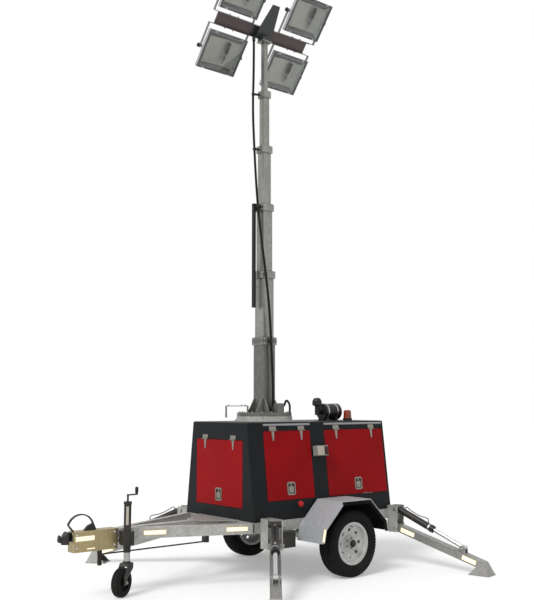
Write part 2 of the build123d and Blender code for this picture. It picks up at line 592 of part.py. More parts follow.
with BuildPart() as canopy_frame:
    with BuildSketch(Plane.XZ.offset(-CANOPY_REAR)):
        with BuildLine():
            Polyline((-canopy_half(CHASSIS_TOP), CHASSIS_TOP), (canopy_half(CHASSIS_TOP), CHASSIS_TOP),
                     (canopy_half(ROOF_SEAM), ROOF_SEAM), (-canopy_half(ROOF_SEAM), ROOF_SEAM), close=True)
        make_face()
    extrude(amount=CANOPY_LEN)
    upright = canopy_frame.edges().filter_by(lambda e: abs(e.tangent_at(0).Z) > 0.9)
    fillet(upright, CORNER_R)
    with BuildSketch(Plane.XZ.offset(-CANOPY_REAR + WALL)):
        with BuildLine():
            Polyline((-canopy_half(FLOOR_TOP) + WALL, FLOOR_TOP), (canopy_half(FLOOR_TOP) - WALL, FLOOR_TOP),
                     (canopy_half(ROOF_SEAM) - WALL, ROOF_SEAM), (-canopy_half(ROOF_SEAM) + WALL, ROOF_SEAM),
                     close=True)
        make_face()
    extrude(amount=CANOPY_LEN - 2 * WALL, mode=Mode.SUBTRACT)
    with BuildSketch(Plane.XY.offset(CHASSIS_TOP)):
        with Locations((0, MAST_Y)):
            Circle(SOCKET_R + RUN_GAP)
    extrude(amount=FLOOR_T, mode=Mode.SUBTRACT)
    for name, plane, middle, low, high, width in DOORS:
        with BuildSketch(plane.offset(1)):
            with Locations((middle, (low + high) / 2)):
                RectangleRounded(width, high - low, DOOR_CORNER_R)
        extrude(amount=-WALL - 6, mode=Mode.SUBTRACT)
    with BuildSketch(Plane.XZ.offset(-CANOPY_REAR - 1)):
        with Locations((0, (LOUVRE_LOW + LOUVRE_HIGH) / 2)):
            Rectangle(LOUVRE_W, LOUVRE_HIGH - LOUVRE_LOW)
    extrude(amount=WALL + 2, mode=Mode.SUBTRACT)
    with BuildSketch(Plane.YZ.offset(-LOUVRE_W / 2)):
        rows = int((LOUVRE_HIGH - LOUVRE_LOW) / LOUVRE_PITCH)
        for row in range(rows):
            foot = LOUVRE_LOW + (row + 0.4) * LOUVRE_PITCH
            with BuildLine():
                Polyline((CANOPY_REAR, foot), (CANOPY_REAR, foot + BLADE_T),
                         (CANOPY_REAR - WALL, foot + BLADE_T + WALL), (CANOPY_REAR - WALL, foot + WALL),
                         close=True)
            make_face()
    extrude(amount=LOUVRE_W)
    for door in DOORS:
        plane = door[1]
        with BuildSketch(plane):
            for across, height in hinge_spots(door):
                with Locations((across, height + HINGE_R + 1 + HINGE_LEAF / 2)):
                    Rectangle(HINGE_LEN, HINGE_LEAF)
                with Locations((across - HINGE_LEN * 0.375, height + HINGE_R),
                               (across + HINGE_LEN * 0.375, height + HINGE_R)):
                    Rectangle(HINGE_LEN * 0.25, 2 * HINGE_R)
        extrude(amount=HINGE_STRAP_T)
        for across, height in hinge_spots(door):
            for end in (-1, 1):
                pin_start = plane.from_local_coords(Vector(across + end * HINGE_LEN / 4, height, HINGE_OUT))
                pin_plane = Plane(origin=pin_start, x_dir=plane.z_dir, z_dir=plane.x_dir * end)
                with BuildSketch(pin_plane):
                    Circle(HINGE_R)
                extrude(amount=HINGE_LEN * 0.25)
save(canopy_frame.part, "canopy_frame")

# Doors, each as thick as the wall, with strap hinges and a paddle latch
for door in DOORS:
    name, plane, middle, low, high, width = door
    with BuildPart() as panel:
        with BuildSketch(plane):
            with Locations((middle, (low + high) / 2)):
                RectangleRounded(width - 2 * DOOR_GAP, high - low - 2 * DOOR_GAP, DOOR_CORNER_R - 4)
        extrude(amount=-WALL)
        with BuildSketch(plane.offset(-WALL)):
            with Locations((middle, (low + high) / 2)):
                RectangleRounded(width - 90, high - low - 90, DOOR_CORNER_R)
        extrude(amount=10, mode=Mode.SUBTRACT)
        with BuildSketch(plane):
            for across, height in hinge_spots(door):
                half = HINGE_LEN / 4 - FACE_GAP
                tip = height - HINGE_STRAP_LEN
                with BuildLine():
                    Polyline((across - HINGE_TIP_R, tip + HINGE_TIP_R), (across - half, height),
                             (across + half, height), (across + HINGE_TIP_R, tip + HINGE_TIP_R))
                    ThreePointArc((across + HINGE_TIP_R, tip + HINGE_TIP_R), (across, tip),
                                  (across - HINGE_TIP_R, tip + HINGE_TIP_R))
                make_face()
            with Locations((middle, low + LATCH_UP)):
                RectangleRounded(LATCH_W, LATCH_H, 20)
        extrude(amount=HINGE_STRAP_T)
        with BuildSketch(plane.offset(HINGE_STRAP_T)):
            with Locations((middle, low + LATCH_UP)):
                RectangleRounded(LATCH_W - 2 * LATCH_BORDER, LATCH_H - 2 * LATCH_BORDER, 12)
        extrude(amount=-HINGE_STRAP_T - PAN_DEPTH, mode=Mode.SUBTRACT)
        with BuildSketch(plane.offset(-PAN_DEPTH)):
            with Locations((middle, low + LATCH_UP - PADDLE_DOWN)):
                RectangleRounded(PADDLE_W, PADDLE_H, 8)
        extrude(amount=PAN_DEPTH + PADDLE_OUT)
        for across, height in hinge_spots(door):
            half = HINGE_LEN / 4 - FACE_GAP
            pin_start = plane.from_local_coords(Vector(across - half, height, HINGE_OUT))
            pin_plane = Plane(origin=pin_start, x_dir=plane.z_dir, z_dir=plane.x_dir)
            with BuildSketch(pin_plane):
                Circle(HINGE_R)
            extrude(amount=2 * half)
    save(panel.part, name)

# Canopy roof: a shallow lid with rounded edges and a hole for the mast
with BuildPart() as canopy_roof:
    with BuildSketch(Plane.XZ.offset(-CANOPY_REAR)):
        with BuildLine():
            Polyline((-canopy_half(ROOF_SEAM), ROOF_SEAM), (canopy_half(ROOF_SEAM), ROOF_SEAM),
                     (canopy_half(CANOPY_TOP), CANOPY_TOP), (-canopy_half(CANOPY_TOP), CANOPY_TOP), close=True)
        make_face()
    extrude(amount=CANOPY_LEN)
    fillet(canopy_roof.edges().filter_by(lambda e: abs(e.tangent_at(0).Z) > 0.9), CORNER_R)
    fillet(canopy_roof.faces().sort_by(Axis.Z)[-1].edges(), ROOF_EDGE_R * 0.5)
    with BuildSketch(Plane.XZ.offset(-CANOPY_REAR + WALL)):
        inner_top = CANOPY_TOP - ROOF_T
        with BuildLine():
            Polyline((-canopy_half(ROOF_SEAM) + WALL, ROOF_SEAM), (canopy_half(ROOF_SEAM) - WALL, ROOF_SEAM),
                     (canopy_half(inner_top) - WALL, inner_top), (-canopy_half(inner_top) + WALL, inner_top),
                     close=True)
        make_face()
    extrude(amount=CANOPY_LEN - 2 * WALL, mode=Mode.SUBTRACT)
    with Locations((0, MAST_Y, CANOPY_TOP)):
        Cylinder(ROOF_HOLE_R, 4 * ROOF_T, mode=Mode.SUBTRACT)
save(canopy_roof.part, "canopy_roof")

# Engine with its generator, as one plain mass on the floor
ENGINE_W = 460.0
ENGINE_H = 520.0
ENGINE_START = AXLE_Y - 160.0
ENGINE_END = AXLE_Y + 700.0
with BuildPart() as engine_block:
    with Locations((0, (ENGINE_START + ENGINE_END) / 2, FLOOR_TOP + ENGINE_H / 2)):
        Box(ENGINE_W, ENGINE_END - ENGINE_START, ENGINE_H)
save(engine_block.part, "engine_block")

# Air cleaner: a drum lying on two feet, and its mushroom rain cap
DRUM_X = 100.0
CLEANER_R = 84.0
CLEANER_START = AXLE_Y + 300.0
CLEANER_LEN = 235.0
CLEANER_Z = CANOPY_TOP + 14.0 + CLEANER_R
CAP_R = 52.0
CAP_LOW = CANOPY_TOP + 155.0
CAP_TOP = CANOPY_TOP + 247.0
INLET_R = 25.0
CAP_Y = CLEANER_START - 62.0
with BuildPart() as air_cleaner:
    with BuildSketch(Plane.XZ.offset(-CLEANER_START - CLEANER_LEN)):
        with Locations((DRUM_X, CLEANER_Z)):
            Circle(CLEANER_R)
    extrude(amount=CLEANER_LEN)
    for share in (0.2, 0.75):
        with BuildSketch(Plane.XZ.offset(-CLEANER_START - CLEANER_LEN * share)):
            with BuildLine():
                Polyline((DRUM_X - 75, CANOPY_TOP), (DRUM_X + 75, CANOPY_TOP), (DRUM_X + 50, CLEANER_Z),
                         (DRUM_X - 50, CLEANER_Z), close=True)
            make_face()
        extrude(amount=26)
    with BuildSketch(Plane.YZ.offset(DRUM_X)):
        with BuildLine():
            Polyline((CAP_Y, CANOPY_TOP + 60), (CAP_Y + INLET_R, CANOPY_TOP + 60), (CAP_Y + INLET_R, CAP_LOW),
                     (CAP_Y + CAP_R, CAP_LOW + 12), (CAP_Y + CAP_R, CAP_TOP - 40), (CAP_Y + CAP_R / 1.5, CAP_TOP - 6),
                     (CAP_Y, CAP_TOP), close=True)
        make_face()
    revolve(axis=Axis((DRUM_X, CAP_Y, 0), (0, 0, 1)))
    with BuildSketch(Plane.XZ.offset(-CLEANER_START)):
        with Locations((DRUM_X, CANOPY_TOP + 92)):
            Circle(INLET_R - 1)
    extrude(amount=CLEANER_START - CAP_Y)
save(air_cleaner.part, "air_cleaner")

# Beacon: a dark foot and an amber dome
BEACON = (255.0, AXLE_Y + 545.0)
BEACON_R = 44.0
BEACON_BASE_H = 26.0
BEACON_H = 104.0
with BuildPart() as beacon_base:
    with BuildSketch(Plane.XY.offset(CANOPY_TOP)):
        with Locations(BEACON):
            Circle(BEACON_R + 6)
    extrude(amount=BEACON_BASE_H)
save(beacon_base.part, "beacon_base")
with BuildPart() as beacon_lens:
    with BuildSketch(Plane.XY.offset(CANOPY_TOP + BEACON_BASE_H)):
        with Locations(BEACON):
            Circle(BEACON_R)
    extrude(amount=BEACON_H - 14, taper=4)
    fillet(beacon_lens.faces().sort_by(Axis.Z)[-1].edges(), 14)
save(beacon_lens.part, "beacon_lens")

# Outlet box on the post between the left doors, tail lamps and battery box
OUTLET_Y = AXLE_Y - 110.0
OUTLET_W = 150.0
OUTLET_H = 104.0
OUTLET_T = 62.0
OUTLET_UP = 640.0
with BuildPart() as outlet_box:
    with BuildSketch(LEFT_PLANE):
        with Locations((OUTLET_Y, OUTLET_UP)):
            RectangleRounded(OUTLET_W, OUTLET_H, 10)
    extrude(amount=OUTLET_T)
save(outlet_box.part, "outlet_box")

TAIL_X = 400.0
TAIL_W = 150.0
TAIL_H = 70.0
TAIL_T = 38.0
with BuildPart() as tail_lamps:
    for side in (-1, 1):
        with BuildSketch(Plane.XZ.offset(-CANOPY_REAR)):
            with Locations((side * TAIL_X, CHASSIS_TOP - RAIL_H / 2 + 14)):
                RectangleRounded(TAIL_W, TAIL_H, 8)
        extrude(amount=-TAIL_T)
save(tail_lamps.part, "tail_lamps")

BATTERY_LOW = 322.0
with BuildPart() as battery_box:
    with Locations((SPRING_X - 10, AXLE_Y - 640, (BATTERY_LOW + RAIL_LOW) / 2)):
        Box(200, 170, RAIL_LOW - BATTERY_LOW)
save(battery_box.part, "battery_box")

# Jockey wheel: clamp and outer tube with its crank, sliding inner tube, fork and wheel
JOCKEY_X = 130.0
JOCKEY_Y = NOSE_Y + 530.0
JOCKEY_R = 33.0
JOCKEY_WALL = 4.0
JOCKEY_LOW = 372.0
JOCKEY_HIGH = 790.0
CRANK_TOP = 938.0
INNER_R = JOCKEY_R - JOCKEY_WALL - PIN_GAP
JOCKEY_WHEEL_R = 125.0
JOCKEY_WHEEL_W = 68.0
TRAIL = 78.0
TRAIL_TURN = 27.0
CLAMP_H = 120.0
TRAIL_X = JOCKEY_X + TRAIL * math.sin(math.radians(TRAIL_TURN))
TRAIL_Y = JOCKEY_Y - TRAIL * math.cos(math.radians(TRAIL_TURN))
CLAMP_Z = CHASSIS_TOP - RAIL_H / 2 - 30
with BuildPart() as jockey_tube:
    with BuildSketch(Plane.XY.offset(JOCKEY_LOW)):
        with Locations((JOCKEY_X, JOCKEY_Y)):
            Circle(JOCKEY_R)
            Circle(JOCKEY_R - JOCKEY_WALL, mode=Mode.SUBTRACT)
    extrude(amount=JOCKEY_HIGH - JOCKEY_LOW)
    with BuildSketch(Plane.XY.offset(JOCKEY_HIGH)):
        with Locations((JOCKEY_X, JOCKEY_Y)):
            Circle(JOCKEY_R + 4)
    extrude(amount=24)
    with BuildSketch(Plane.XY.offset(JOCKEY_HIGH + 24)):
        with Locations((JOCKEY_X, JOCKEY_Y)):
            Circle(9.0)
    extrude(amount=CRANK_TOP - JOCKEY_HIGH - 24 - 60)
    with BuildSketch(Plane.XY.offset(CRANK_TOP - 72)):
        with Locations((JOCKEY_X, JOCKEY_Y + 45)):
            SlotCenterToCenter(90, 22, rotation=90)
    extrude(amount=12)
    with BuildSketch(Plane.XY.offset(CRANK_TOP - 60)):
        with Locations((JOCKEY_X, JOCKEY_Y + 90)):
            Circle(11.0)
    extrude(amount=60)
    with BuildSketch(Plane.XY.offset(CLAMP_Z - CLAMP_H / 2)):
        with Locations((JOCKEY_X, JOCKEY_Y)):
            Rectangle(2 * JOCKEY_R + 26, 2 * JOCKEY_R + 26)
        with BuildLine():
            Polyline((draw_outer(JOCKEY_Y - 30), JOCKEY_Y - 30), (draw_outer(JOCKEY_Y + 30), JOCKEY_Y + 30),
                     (JOCKEY_X - JOCKEY_R, JOCKEY_Y + 30), (JOCKEY_X - JOCKEY_R, JOCKEY_Y - 30), close=True)
        make_face()
        with Locations((JOCKEY_X, JOCKEY_Y)):
            Circle(JOCKEY_R - JOCKEY_WALL, mode=Mode.SUBTRACT)
    extrude(amount=CLAMP_H)
save(jockey_tube.part, "jockey_tube")

INNER_LOW = 296.0
INNER_TOP = 700.0
with BuildPart() as jockey_inner:
    with BuildSketch(Plane.XY.offset(INNER_LOW)):
        with Locations((JOCKEY_X, JOCKEY_Y)):
            Circle(INNER_R)
    extrude(amount=INNER_TOP - INNER_LOW)
save(jockey_inner.part, "jockey_inner")

FORK_T = 6.0
FORK_GAP = 6.0
fork_plane = Plane(origin=(JOCKEY_X, JOCKEY_Y, 0),
                   x_dir=(TRAIL_X - JOCKEY_X, TRAIL_Y - JOCKEY_Y, 0),
                   z_dir=(TRAIL_Y - JOCKEY_Y, JOCKEY_X - TRAIL_X, 0))
FORK_TOP = INNER_LOW - FACE_GAP
CROWN_LOW = 2 * JOCKEY_WHEEL_R + RUN_GAP
with BuildPart() as jockey_fork:
    with BuildSketch(Plane.XY.offset(FORK_TOP - 14)):
        with Locations((JOCKEY_X, JOCKEY_Y)):
            Circle(INNER_R + 6)
    extrude(amount=14)
    with BuildSketch(fork_plane):
        with BuildLine():
            Polyline((-38, FORK_TOP - 14), (38, FORK_TOP - 14), (TRAIL + 22, CROWN_LOW - 70),
                     (TRAIL + 24, JOCKEY_WHEEL_R - 22), (TRAIL - 24, JOCKEY_WHEEL_R - 22),
                     (TRAIL - 26, JOCKEY_WHEEL_R + 30), (-38, CROWN_LOW - 20), close=True)
        make_face()
    extrude(amount=JOCKEY_WHEEL_W / 2 + FORK_GAP + FORK_T, both=True)
    with BuildSketch(fork_plane):
        with BuildLine():
            Polyline((-60, -20), (TRAIL + 60, -20), (TRAIL + 60, CROWN_LOW), (-60, CROWN_LOW), close=True)
        make_face()
    extrude(amount=JOCKEY_WHEEL_W / 2 + FORK_GAP, both=True, mode=Mode.SUBTRACT)
    with BuildSketch(fork_plane):
        with Locations((TRAIL, JOCKEY_WHEEL_R)):
            Circle(9.0)
    extrude(amount=JOCKEY_WHEEL_W / 2 + FORK_GAP + FORK_T + 6, both=True)
save(jockey_fork.part, "jockey_fork")

with BuildPart() as jockey_wheel:
    with BuildSketch(fork_plane):
        with Locations((TRAIL, JOCKEY_WHEEL_R)):
            Circle(JOCKEY_WHEEL_R)
            Circle(9.0 + PIN_GAP, mode=Mode.SUBTRACT)
    extrude(amount=JOCKEY_WHEEL_W / 2, both=True)
    fillet(jockey_wheel.edges().filter_by(GeomType.CIRCLE).group_by(SortBy.LENGTH)[-1], 16)
    with BuildSketch(fork_plane.offset(JOCKEY_WHEEL_W / 2)):
        with Locations((TRAIL, JOCKEY_WHEEL_R)):
            Circle(72.0)
            Circle(26.0, mode=Mode.SUBTRACT)
    extrude(amount=-18, mode=Mode.SUBTRACT)
    with BuildSketch(fork_plane.offset(-JOCKEY_WHEEL_W / 2)):
        with Locations((TRAIL, JOCKEY_WHEEL_R)):
            Circle(72.0)
            Circle(26.0, mode=Mode.SUBTRACT)
    extrude(amount=18, mode=Mode.SUBTRACT)
save(jockey_wheel.part, "jockey_wheel")

# Mast: name, outer width, wall, height of the top at rest
MAST = [
    ("mast_base", 160.0, 5.0, 2375.0),
    ("mast_section_1", 140.0, 5.0, 3080.0),
    ("mast_section_2", 120.0, 5.0, 3808.0),
    ("mast_section_3", 100.0, 4.0, 4451.0),
    ("mast_section_4", 76.0, 4.0, 5070.0),
    ("mast_section_5", 52.0, 4.0, 5640.0),
]
TURN_LOW = CANOPY_TOP + RING_H + TURN_GAP
TURN_TOP = TURN_LOW + TURN_H
# Slewing arm: a folded bar from the turntable out over its edge and down
ARM_TURN = -70.0         # degrees in plan from the left
ARM_START = 180.0
ARM_END = 420.0
ARM_W = 40.0
ARM_T = 8.0
ARM_RISE = 72.0
ARM_DROP = 52.0
arm_turn = math.radians(ARM_TURN)
# Slewing gear: an upright block on the turntable
GEAR_X = 225.0
GEAR_Y = 10.0
GEAR_W = 84.0
GEAR_D = 76.0
GEAR_H = 96.0
for count, (name, width, wall, top) in enumerate(MAST):
    foot = MAST_FOOT if count == 0 else top - MAST_LEN
    inner = width - 2 * wall
    with BuildPart() as tube:
        with BuildSketch(Plane.XY.offset(foot)):
            with Locations((0, MAST_Y)):
                Rectangle(width, width)
                Rectangle(inner, inner, mode=Mode.SUBTRACT)
        extrude(amount=top - foot)
        if count < len(MAST) - 1:
            guide = MAST[count + 1][1] + 2 * FACE_GAP
            with BuildSketch(Plane.XY.offset(top - COLLAR_H)):
                with Locations((0, MAST_Y)):
                    Rectangle(width + 2 * COLLAR_OUT, width + 2 * COLLAR_OUT)
                    Rectangle(guide, guide, mode=Mode.SUBTRACT)
            extrude(amount=COLLAR_H)
        if count > 0:
            guide = MAST[count - 1][1] - 2 * MAST[count - 1][2] - 2 * FACE_GAP
            with BuildSketch(Plane.XY.offset(foot)):
                with Locations((0, MAST_Y)):
                    Rectangle(guide, guide)
                    Rectangle(inner, inner, mode=Mode.SUBTRACT)
            extrude(amount=PAD_H)
        else:
            with BuildSketch(Plane.XY.offset(foot)):
                with Locations((0, MAST_Y)):
                    Rectangle(width, width)
            extrude(amount=8)
            socket_top = CHASSIS_TOP + SOCKET_RISE
            with BuildSketch(Plane.XY.offset(foot)):
                with Locations((0, MAST_Y)):
                    Circle(SOCKET_R)
            extrude(amount=-(foot - socket_top - FACE_GAP))
            with BuildSketch(Plane.XY.offset(foot)):
                with Locations((0, MAST_Y)):
                    Circle(SPIGOT_R)
            extrude(amount=-(foot - CHASSIS_TOP + SOCKET_PLATE + 4))
            with BuildSketch(Plane.XY.offset(TURN_LOW)):
                with Locations((0, MAST_Y)):
                    Circle(TURN_R)
                    Rectangle(inner, inner, mode=Mode.SUBTRACT)
            extrude(amount=TURN_H)
            arm_plane = Plane(origin=(0, MAST_Y, TURN_TOP), x_dir=(-math.cos(arm_turn), math.sin(arm_turn), 0),
                              z_dir=(math.sin(arm_turn), math.cos(arm_turn), 0))
            with BuildSketch(arm_plane):
                with BuildLine():
                    Polyline((ARM_START, 0), (ARM_START, ARM_RISE), (ARM_END, ARM_RISE), (ARM_END, -ARM_DROP),
                             (ARM_END - ARM_T, -ARM_DROP), (ARM_END - ARM_T, ARM_RISE - ARM_T),
                             (ARM_START + ARM_T, ARM_RISE - ARM_T), (ARM_START + ARM_T, 0), close=True)
                make_face()
            extrude(amount=ARM_W / 2, both=True)
            with BuildSketch(Plane.XY.offset(TURN_TOP)):
                with Locations((GEAR_X, MAST_Y + GEAR_Y)):
                    RectangleRounded(GEAR_D, GEAR_W, 10)
            extrude(amount=GEAR_H)
        if name == "mast_section_5":
            with BuildSketch(Plane.XY.offset(top - 12)):
                with Locations((0, MAST_Y)):
                    Rectangle(110, 130)
            extrude(amount=12)
    save(tube.part, name)

# Slew ring: the fixed bearing ring on the roof under the turntable of the mast
with BuildPart() as slew_ring:
    with BuildSketch(Plane.XY.offset(CANOPY_TOP)):
        with Locations((0, MAST_Y)):
            Circle(RING_R)
            Circle(RING_IN_R, mode=Mode.SUBTRACT)
    extrude(amount=RING_H)
save(slew_ring.part, "slew_ring")

# Damper rod that hangs in front of the mast from the collar of the second section
ROD_X = -30.0
SIDE_ROD_R = 22.0
SIDE_ROD_FRONT = MAST[0][1] / 2 + COLLAR_OUT + RUN_GAP + SIDE_ROD_R
SIDE_ROD_LOW = 2692.0
SECTION_2_TOP = MAST[2][3]
SECTION_2_FACE = MAST[2][1] / 2 + COLLAR_OUT
with BuildPart() as mast_rod:
    with BuildSketch(Plane.XY.offset(SIDE_ROD_LOW)):
        with Locations((ROD_X, MAST_Y - SIDE_ROD_FRONT)):
            Circle(SIDE_ROD_R)
    extrude(amount=SECTION_2_TOP - SIDE_ROD_LOW)
    with BuildSketch(Plane.XY.offset(SECTION_2_TOP - COLLAR_H)):
        with Locations((ROD_X, MAST_Y - (SECTION_2_FACE + SIDE_ROD_FRONT) / 2)):
            Rectangle(40, SIDE_ROD_FRONT - SECTION_2_FACE)
    extrude(amount=COLLAR_H)
save(mast_rod.part, "mast_rod")

# Light bar: an open channel tilted with the lamps, and a tapered head plate
LAMP_TILT = 39.0
BAR_LEN = 1260.0
BAR_H = 130.0
BAR_D = 62.0
BAR_WALL = 4.0
BAR_Z = 5742.0
BAR_X = -18.0
LAMP_ROW = 330.0         # lamp pivot from the middle of the bar, along the tilted face
LAMP_SPACING = 885.0
LAMP_W = 500.0
LAMP_H = 420.0
LAMP_FRONT = 60.0        # glass face ahead of the pivot
LAMP_BACK = 128.0
LAMP_RIM = 36.0
LAMP_WALL = 4.0
GLASS_T = 5.0
YOKE_W = 34.0
YOKE_T = 5.0
YOKE_GAP = 7.0
KNOB_R = 21.0
KNOB_T = 18.0
LAMP_BOSS_R = 15.0
CABLE_R = 13.0
CABLE_X = -48.0
CABLE_OUT = MAST[0][1] / 2 + COLLAR_OUT + RUN_GAP + CABLE_R
tilt = math.radians(LAMP_TILT)
facing = Vector(math.cos(tilt), 0, -math.sin(tilt))
rising = Vector(math.sin(tilt), 0, math.cos(tilt))
bar_middle = Vector(BAR_X, MAST_Y, BAR_Z)


def end_plane(along):
    """A plane across the light bar: x faces the light, y rises along the tilted face."""
    origin = bar_middle + Vector(0, along, 0)
    return Plane(origin=origin, x_dir=facing, z_dir=(0, -1, 0))


def lamp_plane(row, along, ahead):
    """A plane parallel to a lamp's glass: x along the bar, y rising."""
    origin = bar_middle + rising * (row * LAMP_ROW) + facing * ahead + Vector(0, along, 0)
    return Plane(origin=origin, x_dir=(0, 1, 0), z_dir=facing)


with BuildPart() as light_bar:
    with BuildSketch(end_plane(BAR_LEN / 2)):
        Rectangle(BAR_D, BAR_H)
        with Locations((BAR_WALL, 0)):
            Rectangle(BAR_D, BAR_H - 2 * BAR_WALL, mode=Mode.SUBTRACT)
    extrude(amount=BAR_LEN)
    with BuildSketch(lamp_plane(0, 0, -BAR_D / 2 + BAR_WALL)):
        with BuildLine():
            Polyline((-100, -60), (100, -60), (100, BAR_H / 2 - BAR_WALL), (-100, BAR_H / 2 - BAR_WALL),
                     close=True)
        make_face()
    extrude(amount=BAR_D - BAR_WALL)
    with BuildSketch(lamp_plane(0, 0, BAR_D / 2 - 12)):
        with BuildLine():
            Polyline((-100, BAR_H / 2 - 20), (100, BAR_H / 2 - 20), (46, 330), (-46, 330), close=True)
        make_face()
    extrude(amount=12)
    with BuildSketch(Plane.XY.offset(MAST[5][3])):
        with Locations((0, MAST_Y)):
            Rectangle(96, 116)
    extrude(amount=42)
    with BuildSketch(Plane.XY.offset(MAST[5][3])):
        with Locations((CABLE_X, MAST_Y - CABLE_OUT)):
            Circle(CABLE_R + 5)
    extrude(amount=48)
save(light_bar.part, "light_bar")

with BuildPart() as lamp_yokes:
    for row in (-1, 1):
        for place in (-1, 1):
            along = place * LAMP_SPACING / 2
            base = row * (BAR_H / 2 - LAMP_ROW)
            arm = LAMP_W / 2 + YOKE_GAP + YOKE_T / 2
            with BuildSketch(lamp_plane(row, along, -YOKE_W / 2)):
                with BuildLine():
                    Polyline((-arm, 18 * row), (-arm, base + row * YOKE_T / 2),
                             (arm, base + row * YOKE_T / 2), (arm, 18 * row))
                trace(line_width=YOKE_T)
            extrude(amount=YOKE_W)
            for end in (-1, 1):
                with BuildSketch(end_plane(along + end * arm)):
                    with Locations((0, row * LAMP_ROW)):
                        Circle(KNOB_R)
                extrude(amount=-end * KNOB_T)
save(lamp_yokes.part, "lamp_yokes")

for row, level in ((-1, "lower"), (1, "upper")):
    with BuildPart() as housings:
        for place in (-1, 1):
            along = place * LAMP_SPACING / 2
            with BuildSketch(lamp_plane(row, along, LAMP_FRONT - LAMP_RIM)):
                Rectangle(LAMP_W, LAMP_H)
            extrude(amount=LAMP_RIM)
            with BuildSketch(lamp_plane(row, along, LAMP_FRONT - LAMP_RIM)):
                Rectangle(LAMP_W - 16, LAMP_H - 16)
            with BuildSketch(lamp_plane(row, along, -LAMP_BACK)):
                Rectangle(LAMP_W * 0.56, LAMP_H * 0.5)
            loft()
            with BuildSketch(lamp_plane(row, along, LAMP_FRONT - 9)):
                Rectangle(LAMP_W - 24, LAMP_H - 24)
            extrude(amount=9, mode=Mode.SUBTRACT)
            with BuildSketch(lamp_plane(row, along, LAMP_FRONT - 9)):
                Rectangle(LAMP_W - 48, LAMP_H - 48)
            with BuildSketch(lamp_plane(row, along, LAMP_WALL - LAMP_BACK)):
                Rectangle(LAMP_W * 0.5, LAMP_H * 0.42)
            loft(mode=Mode.SUBTRACT)
            with BuildSketch(lamp_plane(row, along, LAMP_WALL - LAMP_BACK)):
                Circle(30.0)
            extrude(amount=70)
            for end in (-1, 1):
                with BuildSketch(end_plane(along + end * (LAMP_W / 2 + YOKE_GAP - FACE_GAP))):
                    with Locations((0, row * LAMP_ROW)):
                        Circle(LAMP_BOSS_R)
                extrude(amount=end * (YOKE_GAP + LAMP_W * 0.08))
    save(housings.part, f"lamp_housings_{level}")
    with BuildPart() as glasses:
        for place in (-1, 1):
            with BuildSketch(lamp_plane(row, place * LAMP_SPACING / 2, LAMP_FRONT - 9)):
                Rectangle(LAMP_W - 26, LAMP_H - 26)
            extrude(amount=GLASS_T)
    save(glasses.part, f"lamp_glass_{level}")

# Mast cable: it hangs beside the mast from the light bar to the turntable
# Across, ahead of the mast axis, height
CABLE_POINTS = [
    (CABLE_X, -CABLE_OUT, 5640.0),
    (CABLE_X, -CABLE_OUT, 5300.0),
    (CABLE_X - 8, -CABLE_OUT - 8, 4860.0),
    (-36.0, -CABLE_OUT, 4420.0),
    (10.0, -CABLE_OUT - 14, 4060.0),
    (44.0, -CABLE_OUT - 8, 3700.0),
    (96.0, -CABLE_OUT + 6, 3320.0),
    (CABLE_OUT + 6, -60.0, 2940.0),
    (CABLE_OUT + 10, -20.0, 2560.0),
    (CABLE_OUT + 4, 6.0, 2180.0),
    (CABLE_OUT + 12, 18.0, 1860.0),
    (CABLE_OUT + 12, 18.0, TURN_TOP),
]
cable_route = [Vector(x, MAST_Y + y, z) for x, y, z in CABLE_POINTS]


def route_radii(route):
    """For each corner, 0.45 of the shorter run over the tangent of half the turn."""
    radii = []
    for before, corner, after in zip(route, route[1:], route[2:]):
        turn = math.radians((corner - before).get_angle(after - corner))
        shorter = min((corner - before).length, (after - corner).length)
        radii.append(0.45 * shorter / math.tan(turn / 2))
    return radii


cable_radii = route_radii(cable_route)
with BuildPart() as mast_cable:
    with BuildLine() as cable_line:
        FilletPolyline(*cable_route, radius=cable_radii)
    cable_start = cable_route[0]
    with BuildSketch(Plane(origin=cable_start, z_dir=(cable_route[1] - cable_start))):
        Circle(CABLE_R)
    sweep(path=cable_line.wires()[0])
save(mast_cable.part, "mast_cable")
print("cable length", round(cable_line.wires()[0].length), "volume share",
      round(mast_cable.part.volume / (math.pi * CABLE_R ** 2 * cable_line.wires()[0].length), 4))
print("cable radii", [round(r) for r in cable_radii])


# Outriggers: bracket on the rail, leg with its foot, and a cylinder above it
CHEEK_IN = LEG_W / 2 + CHEEK_GAP
BOSS_END = CHEEK_IN - BOSS_GAP
CHEEK_HALF = CHEEK_IN + CHEEK_T
cyl_pivot = (LEG_PIVOT_OUT, CYL_PIVOT_Z)
ROD_ALONG = LEG_REACH - ROD_BACK
rod_pin = leg_point(ROD_ALONG, ROD_RISE)
cyl_run = (rod_pin[0] - cyl_pivot[0], rod_pin[1] - cyl_pivot[1])
CYL_LEN = math.hypot(*cyl_run)
BARREL_LEN = CYL_LEN - ROD_SHOWN
cyl_slope = math.atan2(cyl_run[1], cyl_run[0])


def outrigger_frame(side, behind, splay, stand):
    """The upright plane of an outrigger: x outwards, y up, and its origin on the bracket's plate."""
    turn = math.radians(splay)
    out = Vector(side * math.cos(turn), math.sin(turn), 0)
    clear = CHEEK_HALF * abs(math.sin(turn)) + BRACKET_SEAT + stand
    origin = (side * (RAIL_FACE + clear), AXLE_Y + behind, 0)
    return Plane(origin=origin, x_dir=out, z_dir=(out.Y, -out.X, 0))


